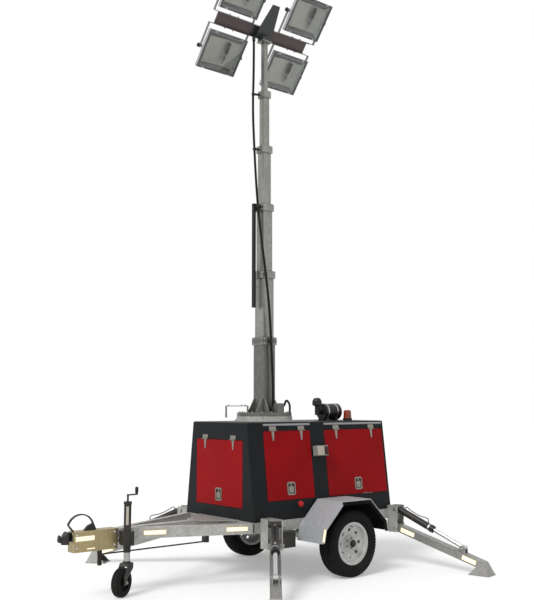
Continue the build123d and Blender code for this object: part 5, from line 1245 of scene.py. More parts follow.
class LIGHTTOWER_OT_hinges(bpy.types.Operator):
    """Adds the steel of the door hinges, their screws and the foam lining of each door"""

    bl_idname = "lighttower.hinges"
    bl_label = "Door hinges"

    def execute(self, context):
        strap = prism(strap_outline(COVER), STRAP_T + COVER)
        knuckle = turned([(HINGE_R + COVER, HINGE_LEN / 4 - 0.0004),
                          (HINGE_R + COVER, 0.0004 - HINGE_LEN / 4)], 20)
        leaf = slab(HINGE_LEN + 2 * COVER, HINGE_LEAF + COVER, 0.004, STRAP_T + COVER, 0.0008)
        outer = turned([(HINGE_R + COVER, 0.0), (HINGE_R + COVER, HINGE_LEN / 4 + COVER)], 20)
        pin = turned([(0.0045, 0.0), (0.0045, 0.004), (0.003, 0.0055)], 12)
        screw = rivet(0.0042)
        leaves, screws = [], []
        for door in DOORS:
            hinges = door.hinges()
            straps = strap.at(*hinges)
            barrels = knuckle.at(*[spot.moved(out=HINGE_OUT).facing_across() for spot in hinges])
            heads = screw.at(*[spot.moved(0.0, -drop, STRAP_T + COVER) for spot in hinges
                               for drop in STRAP_SCREWS])
            make_piece(f"hinge_straps_{door.name}", together(straps, barrels), "latch", door.body)
            plated_piece(f"hinge_screws_{door.name}", heads, door.body)
            inside = door.spot.moved(0.0, -door.drop / 2, -WALL)
            lining = slab(door.width - 0.084, door.drop - 0.096, 0.012, 0.0095, 0.002)
            make_piece(f"foam_lining_{door.name}", lining.at(inside), "foam", door.body)
            leaves.append(leaf.at(*[spot.moved(0.0, HINGE_R + 0.001 + HINGE_LEAF / 2) for spot in hinges]))
            for end in (-1, 1):
                ends = [Spot(spot.moved(end * HINGE_LEN / 4, 0.0, HINGE_OUT).origin, spot.up,
                             spot.across * end)
                        for spot in hinges]
                leaves.append(outer.at(*ends))
                leaves.append(pin.at(*[spot.moved(out=HINGE_LEN / 4 + COVER) for spot in ends]))
                screws += [spot.moved(end * HINGE_LEN * 0.34, HINGE_LEAF * 0.62, STRAP_T + COVER)
                           for spot in hinges]
        make_piece("hinge_leaves", together(*leaves), "latch", "trailer")
        plated_piece("hinge_leaf_screws", screw.at(*screws), "trailer")
        return {"FINISHED"}


LATCH_HOLE_W = 0.078
LATCH_HOLE_H = 0.096
LATCH_SCREW_X = 0.045
LATCH_SCREW_Y = 0.055


class LIGHTTOWER_OT_latches(bpy.types.Operator):
    """Adds the paddle latches: plate, hollow pan, paddle and lock"""

    bl_idname = "lighttower.latches"
    bl_label = "Door latches"

    def execute(self, context):
        plate_t = STRAP_T + COVER
        hole = rounded(LATCH_HOLE_W, LATCH_HOLE_H, 0.012, 6)
        rim = band(rounded(LATCH_W + 2 * COVER, LATCH_H + 2 * COVER, 0.020, 6), hole, plate_t)
        bead = band(rounded(0.084, 0.102, 0.015, 6), hole, 0.0022, plate_t)
        pan = slab(0.079, 0.097, 0.012, 0.0015, 0.0005)
        paddle = together(
            risen((rounded(0.058, 0.062, 0.008, 5), -0.006), (rounded(0.060, 0.064, 0.009, 5), 0.004),
                  (rounded(0.052, 0.056, 0.007, 5), 0.0075)),
            risen((rounded(0.044, 0.018, 0.006, 5), 0.0070), (rounded(0.040, 0.013, 0.005, 5), 0.0105)))
        lock = together(turned([(0.0105, -0.006), (0.0105, 0.003), (0.009, 0.0045), (0.0072, 0.0045),
                                (0.0070, 0.0030), (0.0010, 0.0030)], 24),
                        prism(rounded(0.0022, 0.0085, 0.0008, 2), 0.0004, 0.0030))
        screw = rivet(0.0036)
        for door in DOORS:
            middle = door.spot.moved(0.0, LATCH_UP - door.drop)
            corners = four_spots(middle, LATCH_SCREW_X, LATCH_SCREW_Y, plate_t)
            metal = together(rim.at(middle), bead.at(middle), paddle.at(middle.moved(0.0, -0.010)),
                             lock.at(middle.moved(0.0, 0.036)), screw.at(*corners))
            make_piece(f"latch_{door.name}", metal, "latch", door.body)
            make_piece(f"latch_pan_{door.name}", pan.at(middle.moved(out=0.0002 - 0.006)), "black paint",
                       door.body)
        return {"FINISHED"}


# Roof

TURNTABLE_BOLTS = 16
TURNTABLE_CIRCLE = 0.262
FOOT_RIB = [(0.0, 0.0), (0.088, 0.0), (0.088, 0.006), (0.006, 0.150), (0.0, 0.150)]
FOOT_RIB_T = 0.008
FOOT_RIB_SIDE = 0.064
SLEW_ARM_TURN = math.radians(250.0)
SLEW_ARM_H = 0.072
SLEW_ARM_BOLTS = (0.212, 0.250, 0.390)
HOSE_R = 0.011
HOSE_ROUTE = [(0.225, 0.048, 0.060), (0.228, 0.078, 0.062), (0.234, 0.092, 0.122), (0.234, 0.118, 0.122),
              (0.230, 0.152, 0.082), (0.225, 0.158, 0.040), (0.225, 0.156, 0.0)]
FLANGE_IN = 0.2865
FLANGE_OUT = 0.034
FLANGE_T = 0.008
FLANGE_BOLTS = 12


class LIGHTTOWER_OT_turntable(bpy.types.Operator):
    """Adds the turntable's bolts, ribs and hose, and the slewing ring's flange and bolts"""

    bl_idname = "lighttower.turntable"
    bl_label = "Turntable fittings"

    def execute(self, context):
        size = context.scene.light_tower_sizes.bolt
        radius = (high("slew_ring")[0] - low("slew_ring")[0]) / 2
        top = level_spot((MAST_X, MAST_Y, TURNTABLE_TOP))
        turns = even_angles(TURNTABLE_BOLTS)[1:]
        spots = [top.turned(turn).moved(TURNTABLE_CIRCLE) for turn in turns]
        plated_piece("turntable_bolts", bolt(size).at(*spots), "mast")
        rib = prism(FOOT_RIB, FOOT_RIB_T, -FOOT_RIB_T / 2)
        ribs = []
        for turn in np.arange(4) * np.pi / 2:
            foot = top.turned(turn).moved(MAST_WIDTHS[0] / 2)
            ribs += [foot.moved(0.0, shift).facing_down() for shift in (-FOOT_RIB_SIDE, FOOT_RIB_SIDE)]
        make_piece("mast_foot_ribs", rib.at(*ribs), "mast", "mast")
        arm = top.turned(SLEW_ARM_TURN).moved(out=SLEW_ARM_H)
        spots = [arm.moved(along) for along in SLEW_ARM_BOLTS]
        plated_piece("slewing_arm_bolts", bolt(size * 0.9).at(*spots), "mast")
        hose = pipe(smooth_route(top.points(HOSE_ROUTE)), HOSE_R, 14, (1.0, 0.0, 0.0))
        make_piece("slewing_gear_hose", hose, "cable", "mast")
        ring = level_spot((MAST_X, MAST_Y, ROOF_TOP))
        edge = radius + FLANGE_OUT
        flange = turned([(FLANGE_IN, 0.0), (edge, 0.0), (edge, 0.006), (edge - 0.004, FLANGE_T),
                         (FLANGE_IN, FLANGE_T)], 72, closed=True)
        make_piece("slew_ring_flange", flange.at(ring), "galvanised", "trailer")
        turns = even_angles(FLANGE_BOLTS)
        spots = [ring.turned(turn + 0.1).moved(radius + 0.019, out=FLANGE_T) for turn in turns]
        plated_piece("slew_ring_bolts", bolt(size * 0.85).at(*spots), "trailer")
        return {"FINISHED"}


# Mast

class LIGHTTOWER_OT_mast_collars(bpy.types.Operator):
    """Adds lips, bolts and hoops to the mast's collars"""

    bl_idname = "lighttower.mast_collars"
    bl_label = "Mast collars"

    def execute(self, context):
        size = context.scene.light_tower_sizes.bolt
        for number in range(5):
            width = MAST_WIDTHS[number]
            half = width / 2 + COLLAR_OUT
            top = section_top(number)
            centre = level_spot((MAST_X, MAST_Y, top))
            guide = MAST_WIDTHS[number + 1] + 0.0012
            edge = 2 * half - 0.010
            lip = band(rounded(edge, edge, 0.008), rounded(guide, guide, 0.001), 0.004)
            make_piece(f"collar_lip_{number + 1}", lip.at(centre), "seal", STAGES[number])
            faces = [Spot(centre.origin, np.cross(UP, out), out).moved(out=half, up=-COLLAR_H / 2)
                     for out in ((1, 0, 0), (-1, 0, 0), (0, 1, 0), (0, -1, 0))]
            spots = [spot for face in faces for spot in four_spots(face, half - 0.022, 0.020)]
            plated_piece(f"collar_bolts_{number + 1}", bolt(size * 0.62).at(*spots), STAGES[number])
            wide = 2 * half
            hoop = band(rounded(wide + 0.003, wide + 0.003, 0.006), rounded(wide, wide, 0.0045), 0.006)
            hoops = hoop.at(centre.moved(out=-0.008), centre.moved(out=-COLLAR_H + 0.002))
            make_piece(f"collar_hoops_{number + 1}", hoops, "mast", STAGES[number])
        return {"FINISHED"}


# Across the mast, along the trailer from the mast, height
CABLE_ROUTE = [
    (-0.048, -CABLE_OUT, 5.640),
    (-0.048, -CABLE_OUT, 5.300),
    (-0.056, -CABLE_OUT - 0.008, 4.860),
    (-0.036, -CABLE_OUT, 4.420),
    (0.010, -CABLE_OUT - 0.014, 4.060),
    (0.044, -CABLE_OUT - 0.008, 3.700),
    (0.096, -CABLE_OUT + 0.006, 3.320),
    (CABLE_OUT + 0.006, -0.060, 2.940),
    (CABLE_OUT + 0.010, -0.020, 2.560),
    (CABLE_OUT + 0.004, 0.006, 2.180),
    (CABLE_OUT + 0.012, 0.018, 1.860),
    (CABLE_OUT + 0.012, 0.018, TURNTABLE_TOP),
]


class LIGHTTOWER_OT_mast_cable(bpy.types.Operator):
    """Adds the mast cable in spans that follow the mast's tubes, with its clips"""

    bl_idname = "lighttower.mast_cable"
    bl_label = "Mast cable"

    def execute(self, context):
        line = smooth_route(np.array(CABLE_ROUTE) + (MAST_X, MAST_Y, 0.0))[::-1]
        heights = line[:, 2]
        cuts = [heights[0]] + [section_top(number) - COLLAR_H / 2 for number in range(5)] + [heights[-1]]
        for number, (start, end) in enumerate(zip(cuts, cuts[1:])):
            levels = np.linspace(start, end, 40)
            path = np.column_stack([np.interp(levels, heights, line[:, axis]) for axis in range(3)])
            form = pipe(path, CABLE_R - 0.0003, 14, (0.0, 1.0, 0.2))
            body = "mast" if number == 0 else None
            span = make_piece(f"cable_span_{number + 1}", form, "cable", body)
            if number > 0:
                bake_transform(span)
        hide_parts("mast_cable")
        for number in range(5):
            height = section_top(number) - COLLAR_H / 2
            place = np.array([np.interp(height, heights, line[:, axis]) for axis in range(3)])
            away = unit((place - (MAST_X, MAST_Y, height)) * (1.0, 1.0, 0.0))
            half = MAST_WIDTHS[number] / 2 + COLLAR_OUT
            reach = half / max(abs(away[0]), abs(away[1]))
            gap = np.linalg.norm((place - (MAST_X, MAST_Y, height))[:2]) - reach
            clip = Spot(place, np.cross(UP, away), UP)
            ring = band(circle(CABLE_R + 0.005, 24), circle(CABLE_R + 0.0004, 24), 0.024, -0.012).at(clip)
            stalk_spot = Spot(place - away * (CABLE_R + 0.003), np.cross(UP, away), -away)
            stalk = prism(rounded(0.018, 0.022, 0.003), max(gap - CABLE_R, 0.004) - 0.002).at(stalk_spot)
            plastic_piece(f"cable_clip_{number + 1}", together(ring, stalk), STAGES[number])
        gland = turned([(0.030, 0.0), (0.030, 0.008), (0.024, 0.010), (0.024, 0.026), (0.018, 0.038),
                        (0.0134, 0.046)], 6)
        boot = turned([(0.0255, 0.010), (0.0262, 0.016), (0.0250, 0.022), (0.0255, 0.028), (0.0225, 0.036),
                       (0.0160, 0.060), (0.0136, 0.075)], 24)
        foot = level_spot(line[0])
        plastic_piece("cable_gland", together(gland, boot).at(foot), "mast")
        return {"FINISHED"}


# Floodlights

YOKE_OUT = 0.007
YOKE_BOLT_ALONG = 0.055
KNOB_R = 0.0215
KNOB_WAVE = 0.0022
KNOB_LOBES = 6
KNOB_SIDES = 60
KNOB_OUT = 0.018
BOX_ALONG = 0.20
BOX_D = 0.046
BOX_LID_T = 0.006


class LIGHTTOWER_OT_light_bar(bpy.types.Operator):
    """Adds the bolts and knobs of the lamp yokes, and the junction box"""

    bl_idname = "lighttower.light_bar"
    bl_label = "Light bar fittings"

    def execute(self, context):
        size = context.scene.light_tower_sizes.bolt
        row = (pivot("lamps_upper_tilt") - BAR_SPOT.origin).dot(LAMP_RISE)
        spots, knobs = [], []
        for sign in (-1, 1):
            for place in (-1, 1):
                along = place * LAMP_SPACING / 2
                flange = BAR_SPOT.moved(along, sign * (BAR_H / 2 + 0.0052))
                up_flange = Spot(flange.origin, flange.across, flange.up * sign)
                spots += [up_flange.moved(shift) for shift in (-YOKE_BOLT_ALONG, YOKE_BOLT_ALONG)]
                arm = LAMP_W / 2 + YOKE_OUT + 0.0025
                for end in (-1, 1):
                    hub = BAR_SPOT.moved(along + end * arm, sign * row)
                    knobs.append(Spot(hub.origin, hub.up, hub.across * end).moved(out=KNOB_OUT))
        plated_piece("yoke_bolts", bolt(size * 1.1).at(*spots), "mast_stage_5")
        wave = KNOB_R + KNOB_WAVE * np.cos(KNOB_LOBES * even_angles(KNOB_SIDES))
        star = circle(1.0, KNOB_SIDES) * wave[:, None]
        knob = risen((star * 0.96, 0.0), (star, 0.003), (star, 0.012), (star * 0.86, 0.016),
                     (star * 0.5, 0.018))
        plastic_piece("yoke_knobs", knob.at(*knobs), "mast_stage_5")
        lid = slab(0.140, 0.082, 0.008, BOX_LID_T, 0.002)
        box = together(slab(0.150, 0.092, 0.010, BOX_D, 0.004), lid.at(level_spot((0.0, 0.0, BOX_D))))
        back = BAR_SPOT.moved(out=-BAR_D / 2).facing_back()
        make_piece("junction_box", box.at(back.moved(BOX_ALONG)), "socket grey", "mast_stage_5")
        corners = [back.moved(BOX_ALONG + x * 0.060, y * 0.031, BOX_D + BOX_LID_T)
                   for x in (-1, 1) for y in (-1, 1)]
        plated_piece("junction_box_screws", rivet(0.004).at(*corners), "mast_stage_5")
        return {"FINISHED"}


MOUTH_RIM = 0.056
BOWL_DEPTH = 0.120
BOWL_WALL = 0.0012


def reflector_form():
    """A bowl of rounded rectangles: each level is the mouth's outline times a share.

    Its depth grows by the square of the share, and the wall's back is the same bowl a little larger."""
    share = np.linspace(1.0, 0.16, 12)
    mouth_w, mouth_h = LAMP_W - MOUTH_RIM, LAMP_H - MOUTH_RIM
    depth = (LAMP_FRONT - 0.012) - (BOWL_DEPTH * (1.0 - share ** 2))
    inner = [level_ring(rounded(mouth_w * s, mouth_h * s, 0.020 * s + 0.004, 5), d)
             for s, d in zip(share, depth)]
    outer = [level_ring(rounded(mouth_w * s + 0.002, mouth_h * s + 0.002, 0.020 * s + 0.005, 5),
                        d - BOWL_WALL)
             for s, d in zip(share, depth)]
    return sheet(np.stack(inner + outer[::-1]), round_rows=True, round_columns=True)


PLATE_RUN = ((-0.205, 0.037), (0.030, 0.008))
WING_RUN = ((0.030, 0.008), (0.205, 0.037))
PLATE_T = 0.0015
PLATE_WIDE = 0.290
BULB_PLACE = (0.060, 0.005, 0.034)
FRAME_T = 0.0035
CLIP_ACROSS = 0.17
CLIP_EDGE = 0.010
FIN_REACH = 0.125
FIN_CLEAR = 0.07
GEAR_LID_D = 0.030
GEAR_SCREW_X = 0.055
GEAR_SCREW_Y = 0.038


class LIGHTTOWER_OT_lamps(bpy.types.Operator):
    """Adds reflectors, burners, bulbs, frames, clips, fins and rear lids of the floodlights"""

    bl_idname = "lighttower.lamps"
    bl_label = "Floodlights"

    def execute(self, context):
        bulb = turned([(0.009, 0.0), (0.012, 0.010), (0.015, 0.028), (0.015, 0.075), (0.012, 0.100),
                       (0.003, 0.112)], 28)
        socket = turned([(0.014, -0.124), (0.018, -0.120), (0.018, -0.004), (0.013, 0.004)], 24)
        burner = turned([(0.002, 0.020), (0.0055, 0.024), (0.006, 0.070), (0.002, 0.074)], 12)
        # Both halves of each fold are the same aluminium; the plate half takes the paler copy as painted
        # light
        plates = {"reflector_plates": ("reflector plate", PLATE_RUN),
                  "reflector_wings": ("reflector", WING_RUN)}
        frame_ring = band(rounded(LAMP_W - 0.001, LAMP_H - 0.001, 0.006, 3),
                          rounded(LAMP_W - 0.034, LAMP_H - 0.034, 0.010, 3), FRAME_T)
        hook_top = slab(0.020, 0.008, 0.002, 0.003, 0.001)
        hook = together(slab(0.030, 0.016, 0.003, 0.004, 0.001), hook_top.at(level_spot((0.0, 0.0, 0.004))))
        rib = slab(0.003, LAMP_H * 0.42, 0.001, 0.016, 0.0006)
        lid = slab(0.130, 0.095, 0.008, GEAR_LID_D, 0.003)
        for level in LEVELS:
            body = f"lamps_{level}"
            spots = lamp_spots(level)
            make_piece(f"reflectors_{level}", reflector_form().at(*spots), "reflector", body)
            downs = [spot.facing_down() for spot in spots]
            for name, (finish, (start, end)) in plates.items():
                outline = [start, end, (end[0], end[1] - PLATE_T), (start[0], start[1] - PLATE_T)]
                fold = prism(outline, PLATE_WIDE, -PLATE_WIDE / 2)
                make_piece(f"{name}_{level}", fold.at(*downs), finish, body)
            lying = [spot.moved(*BULB_PLACE).facing_down() for spot in spots]
            plastic_piece(f"bulb_sockets_{level}", socket.at(*lying), body)
            make_piece(f"burners_{level}", burner.at(*lying), "black paint", body)
            make_piece(f"bulbs_{level}", bulb.at(*lying), "bulb", body)
            fronts = [spot.moved(out=LAMP_FRONT) for spot in spots]
            make_piece(f"lamp_frames_{level}", frame_ring.at(*fronts), "lamp frame", body)
            hooks = [spot.moved(x, y, LAMP_FRONT + FRAME_T) for spot in spots
                     for x in (-CLIP_ACROSS, CLIP_ACROSS)
                     for y in (-LAMP_H / 2 + CLIP_EDGE, LAMP_H / 2 - CLIP_EDGE)]
            plated_piece(f"lamp_clips_{level}", hook.at(*hooks), body)
            rears = [spot.moved(out=-LAMP_BACK).facing_back() for spot in spots]
            fins = [rear.moved(x) for rear in rears
                    for x in np.linspace(-FIN_REACH, FIN_REACH, 9) if abs(x) > FIN_CLEAR]
            make_piece(f"lamp_fins_{level}", rib.at(*fins), "lamp", body)
            make_piece(f"lamp_gear_lids_{level}", lid.at(*rears), "lamp", body)
            screws = [spot for rear in rears
                      for spot in four_spots(rear, GEAR_SCREW_X, GEAR_SCREW_Y, GEAR_LID_D)]
            plated_piece(f"lamp_gear_screws_{level}", rivet(0.0045).at(*screws), body)
        return {"FINISHED"}


# Outriggers

def film_pieces(name, spots, wide, body, tall):
    """A strip of reflective film at each spot: a gold border, and a pale middle that stands on it."""
    inset = 2 * bpy.context.scene.light_tower_sizes.film_border
    border = slab(wide, tall, 0.004, 0.0006, 0.0002)
    middle = slab(wide - inset, tall - inset, 0.003, 0.0005, 0.0002)
    make_piece(f"{name}_border", border.at(*spots), "film edge", body)
    make_piece(f"{name}_film", middle.at(*[spot.moved(out=0.0006) for spot in spots]), "film", body)


# Each strip's middle along the leg and its length, then the height of all of them
LEG_STRIP = (0.140, 0.170)
TOE_STRIP = (0.860, 0.160)
LEG_STRIP_H = 0.050
PORT_LOW = 0.075
PORT_HIGH = 0.085
LINE_R = 0.0045


class LIGHTTOWER_OT_outriggers(bpy.types.Operator):
    """Adds pins, reflective strips and cylinder fittings of the outriggers"""

    bl_idname = "lighttower.outriggers"
    bl_label = "Outrigger fittings"

    def execute(self, context):
        head = turned([(PIN_R + 0.005, 0.0), (PIN_R + 0.005, 0.005), (PIN_R + 0.002, 0.008),
                       (0.002, 0.009)], 20)
        clip = turned([(0.0165, 0.0), (0.0165, 0.003), (0.0125, 0.003), (0.0125, 0.0)], 20, closed=True)
        for rig in OUTRIGGERS:
            trailer, leg = [], []
            for rise in (0.0, CYL_RISE):
                for end in (-1.0, 1.0):
                    side = Spot(rig.centre + UP * rise, rig.upright.across, rig.upright.out * end)
                    trailer.append(head.at(side.moved(out=CHEEK_HALF + 0.005)))
                    trailer.append(clip.at(side.moved(out=CHEEK_HALF + 0.0006)))
            plated_piece(f"outrigger_pins_{rig.name}", together(*trailer), "trailer")
            body = f"leg_{rig.name}"
            for end in (-1, 1):
                side = Spot(rig.eye, rig.leg.across, rig.leg.out * end)
                leg.append(head.at(side.moved(out=LUG_OUT + 0.005)))
            plated_piece(f"leg_pins_{rig.name}", together(*leg), body)
            half = LEG_W / 2
            faces = [Spot(rig.leg.origin, rig.leg.across, rig.leg.out * end).moved(out=half)
                     for end in (-1, 1)]
            for name, (along, wide) in (("leg_strips", LEG_STRIP), ("toe_strips", TOE_STRIP)):
                places = [face.moved(along) for face in faces]
                film_pieces(f"{name}_{rig.name}", places, wide, body, LEG_STRIP_H)
            barrel = f"barrel_{rig.name}"
            axis = Spot(rig.cylinder.origin, rig.cylinder.out, rig.cylinder.across)
            mouth = rig.barrel
            nut = band(circle(BARREL_R + 0.003, 8), circle(BARREL_R - 0.004, 8), 0.016, mouth - 0.062)
            wiper = turned([(ROD_R + 0.006, mouth), (ROD_R + 0.006, mouth + 0.004),
                            (ROD_R + 0.002, mouth + 0.007), (ROD_R + 0.0004, mouth + 0.007),
                            (ROD_R + 0.0004, mouth)], 24, closed=True)
            ports = [rig.cylinder.moved(place, BARREL_R - 0.001).facing_up()
                     for place in (PORT_LOW, mouth - PORT_HIGH)]
            port = together(turned([(0.011, 0.0), (0.011, 0.008), (0.009, 0.010)], 6),
                            turned([(0.0065, 0.010), (0.0065, 0.020), (0.005, 0.022)], 12))
            fittings = together(nut.at(axis), port.at(*ports))
            plated_piece(f"cylinder_fittings_{rig.name}", fittings, barrel)
            make_piece(f"cylinder_wipers_{rig.name}", wiper.at(axis), "seal", barrel)
            route = [rig.cylinder.points((place, rise, 0.0)) for place, rise in
                     ((mouth - PORT_HIGH, 0.054), (mouth - 0.090, 0.068), (mouth - 0.125, 0.070),
                      (0.250, 0.050), (0.120, 0.054), (0.092, 0.068), (PORT_LOW, 0.054))]
            line = pipe(smooth_route(np.array(route)), LINE_R, 10, rig.cylinder.out)
            make_piece(f"cylinder_line_{rig.name}", line, "cable", barrel)
        return {"FINISHED"}


# Front of the trailer

def rail_face(side):
    """A drawbar rail's outer face: its middle at the canopy, its run to the beam, and its outward way."""
    rails = high("drawbar_rails")
    run = np.array((side * (BEAM_HALF - RAIL_FACE + RAIL_INSET), RAIL_FRONT - CANOPY_FRONT, 0.0))
    out = unit((-side * run[1], side * run[0], 0.0)) * side
    out = out if out[0] * side > 0 else -out
    start = np.array((side * (RAIL_FACE - RAIL_INSET), CANOPY_FRONT,
                      (low("drawbar_rails")[2] + rails[2]) / 2))
    return start + out * RAIL_HALF, run, out


# Each strip's place on its face, then its length and height
RAIL_SHARES = (0.12, 0.77)
RAIL_STRIP = (0.210, 0.045)
COUPLING_STRIP = ((0.107, -0.062), 0.190, 0.048)
COUPLING_LOW_STRIP = ((0.165, -0.152), 0.085, 0.018)
FENDER_STRIP = (0.125, 0.035)
FENDER_RUN = (0.0, 0.030, 0.140)
FENDER_STRIP_Y = 0.440
FENDER_STRIP_Z = 0.446


class LIGHTTOWER_OT_film(bpy.types.Operator):
    """Adds reflective strips to the drawbar, the coupling and the fenders"""

    bl_idname = "lighttower.film"
    bl_label = "Reflective strips"

    def execute(self, context):
        spots = []
        for side in SIDES.values():
            face, run, out = rail_face(side)
            spots += [Spot(face + run * share, run, out) for share in RAIL_SHARES]
        film_pieces("drawbar_strips", spots, RAIL_STRIP[0], "trailer", RAIL_STRIP[1])
        housing_low, housing_high = low("coupling_housing"), high("coupling_housing")
        faces = [Spot((side * housing_high[0], housing_low[1], housing_high[2]), (0.0, side, 0.0),
                      (side, 0.0, 0.0)) for side in SIDES.values()]
        for name, ((along, rise), wide, tall) in (("coupling_strips", COUPLING_STRIP),
                                                  ("coupling_low_strips", COUPLING_LOW_STRIP)):
            places = [face.moved(face.across[1] * along, rise) for face in faces]
            film_pieces(name, places, wide, "trailer", tall)
        fender = high("fenders")[0]
        sloped = []
        for side in SIDES.values():
            run = unit(FENDER_RUN)
            place = (side * fender, AXLE[1] - FENDER_STRIP_Y, FENDER_STRIP_Z)
            sloped.append(Spot(place, run, (side, 0.0, 0.0)))
        film_pieces("fender_strips", sloped, FENDER_STRIP[0], "trailer", FENDER_STRIP[1])
        return {"FINISHED"}


GAITER_R = 0.0355
GAITER_WAVE = 0.005
GAITER_FOLDS = 3
GAITER_LEN = 0.0335
COUPLING_BOLTS_Y = (0.030, 0.400)
COUPLING_BOLTS_Z = (0.030, 0.140)


class LIGHTTOWER_OT_coupling(bpy.types.Operator):
    """Adds the gaiter, its clamp and the bolts of the coupling"""

    bl_idname = "lighttower.coupling"
    bl_label = "Coupling fittings"

    def execute(self, context):
        size = context.scene.light_tower_sizes.bolt
        housing_low, housing_high = low("coupling_housing"), high("coupling_housing")
        head_z = CANOPY_LOW - BEAM_HALF
        steps = np.linspace(0.0, 1.0, 25)
        radius = GAITER_R + GAITER_WAVE * np.cos(steps * GAITER_FOLDS * 2 * np.pi)
        gaiter = turned(np.column_stack([radius, steps * GAITER_LEN]), 36)
        front = Spot((0.0, housing_low[1], head_z), (1.0, 0.0, 0.0), (0.0, -1.0, 0.0))
        make_piece("coupling_gaiter", gaiter.at(front), "seal", "trailer")
        clamp = turned([(0.0385, 0.0), (0.0440, 0.0), (0.0440, 0.006), (0.0385, 0.006)], 36, closed=True)
        plated_piece("gaiter_clamp", clamp.at(front), "trailer")
        spots = []
        for side in SIDES.values():
            face = side_spot(side, housing_high[0], housing_low[1], housing_high[2])
            spots += [face.moved(y, -side * z) for y in COUPLING_BOLTS_Y for z in COUPLING_BOLTS_Z]
        plated_piece("coupling_bolts", bolt(size * 1.15).at(*spots), "trailer")
        return {"FINISHED"}


CRANK_BACK = 0.090
CRANK_DROP = 0.060
GRIP_R = 0.0135
GRIP_LEN = 0.054
JOCKEY_TUBE_R = 0.0335
JOCKEY_PLATE_T = 0.0012
JOCKEY_PLATE_H = 0.160
JOCKEY_PLATE_DROP = 0.325
JOCKEY_PLATE_TURN = -0.55
JOCKEY_PLATE_HALF = 0.34
JOCKEY_NUT_OUT = 0.0521


class LIGHTTOWER_OT_jockey(bpy.types.Operator):
    """Adds the grip, the blank plate and the axle nuts of the jockey wheel"""

    bl_idname = "lighttower.jockey"
    bl_label = "Jockey wheel fittings"

    def execute(self, context):
        size = context.scene.light_tower_sizes.bolt
        tube_top = high("jockey_tube")[2]
        centre = pivot("jockey_swivel")
        crank = level_spot((centre[0], centre[1] + CRANK_BACK, tube_top - CRANK_DROP))
        steps = np.linspace(0.0, 1.0, 25)
        swell = GRIP_R + 0.0022 * np.sin(steps * np.pi) + 0.0006 * np.cos(steps * 12 * np.pi)
        grip = turned(np.column_stack([swell, 0.004 + steps * GRIP_LEN]), 24)
        plastic_piece("crank_grip", grip.at(crank), "trailer")
        angles = np.linspace(-JOCKEY_PLATE_HALF, JOCKEY_PLATE_HALF, 13) + JOCKEY_PLATE_TURN
        heights = np.linspace(0.0, 1.0, 5) * JOCKEY_PLATE_H + tube_top - JOCKEY_PLATE_DROP
        front = np.column_stack([np.cos(angles), np.sin(angles)])
        ring = np.concatenate([front * (JOCKEY_TUBE_R + JOCKEY_PLATE_T), front[::-1] * JOCKEY_TUBE_R])
        plate = risen(*[(ring + centre[:2], height) for height in heights])
        make_piece("jockey_plate", plate, "pale plate", "trailer")
        roller = pivot("jockey_wheel_spin")
        axis = unit(JOINTS["jockey_wheel_spin"]["axis"])
        caps = [Spot(roller + axis * end * JOCKEY_NUT_OUT, UP, axis * end) for end in (-1, 1)]
        plated_piece("jockey_axle_nuts", bolt(size * 1.3).at(*caps), "jockey_caster")
        return {"FINISHED"}


# Roof and side fittings

CLEANER_LEN = 0.235
CLEANER_R = 0.084
CLEANER_X = 0.100
CLEANER_UP = 0.014
CLEANER_BANDS = (0.30, 0.86)


class LIGHTTOWER_OT_air_cleaner(bpy.types.Operator):
    """Adds the bands, the rear lip and the end cover of the air cleaner"""

    bl_idname = "lighttower.air_cleaner"
    bl_label = "Air cleaner fittings"

    def execute(self, context):
        radius = CLEANER_R
        place = (CLEANER_X, high("air_cleaner")[1], ROOF_TOP + CLEANER_UP + radius)
        rear = Spot(place, (-1.0, 0.0, 0.0), (0.0, 1.0, 0.0))
        hoop = turned([(radius, 0.0), (radius + 0.003, 0.001), (radius + 0.003, 0.017), (radius, 0.018)],
                      48, closed=True)
        bands = hoop.at(*[rear.moved(out=-CLEANER_LEN * share) for share in CLEANER_BANDS])
        lip = turned([(radius - 0.004, -0.016), (radius + 0.005, -0.014), (radius + 0.005, -0.006),
                      (radius - 0.004, -0.004)], 48, closed=True).at(rear)
        plated_piece("air_cleaner_bands", together(bands, lip), "trailer")
        cover = turned([(radius - 0.010, 0.0), (radius - 0.012, 0.006), (0.046, 0.007), (0.040, 0.002),
                        (0.020, 0.002), (0.014, 0.010), (0.002, 0.011)], 48)
        plastic_piece("air_cleaner_cover", cover.at(rear), "trailer")
        return {"FINISHED"}


DOME_SIDES = 96
DOME_WALL = 0.78
DOME_WAIST = 0.93
DOME_RIB = 0.012


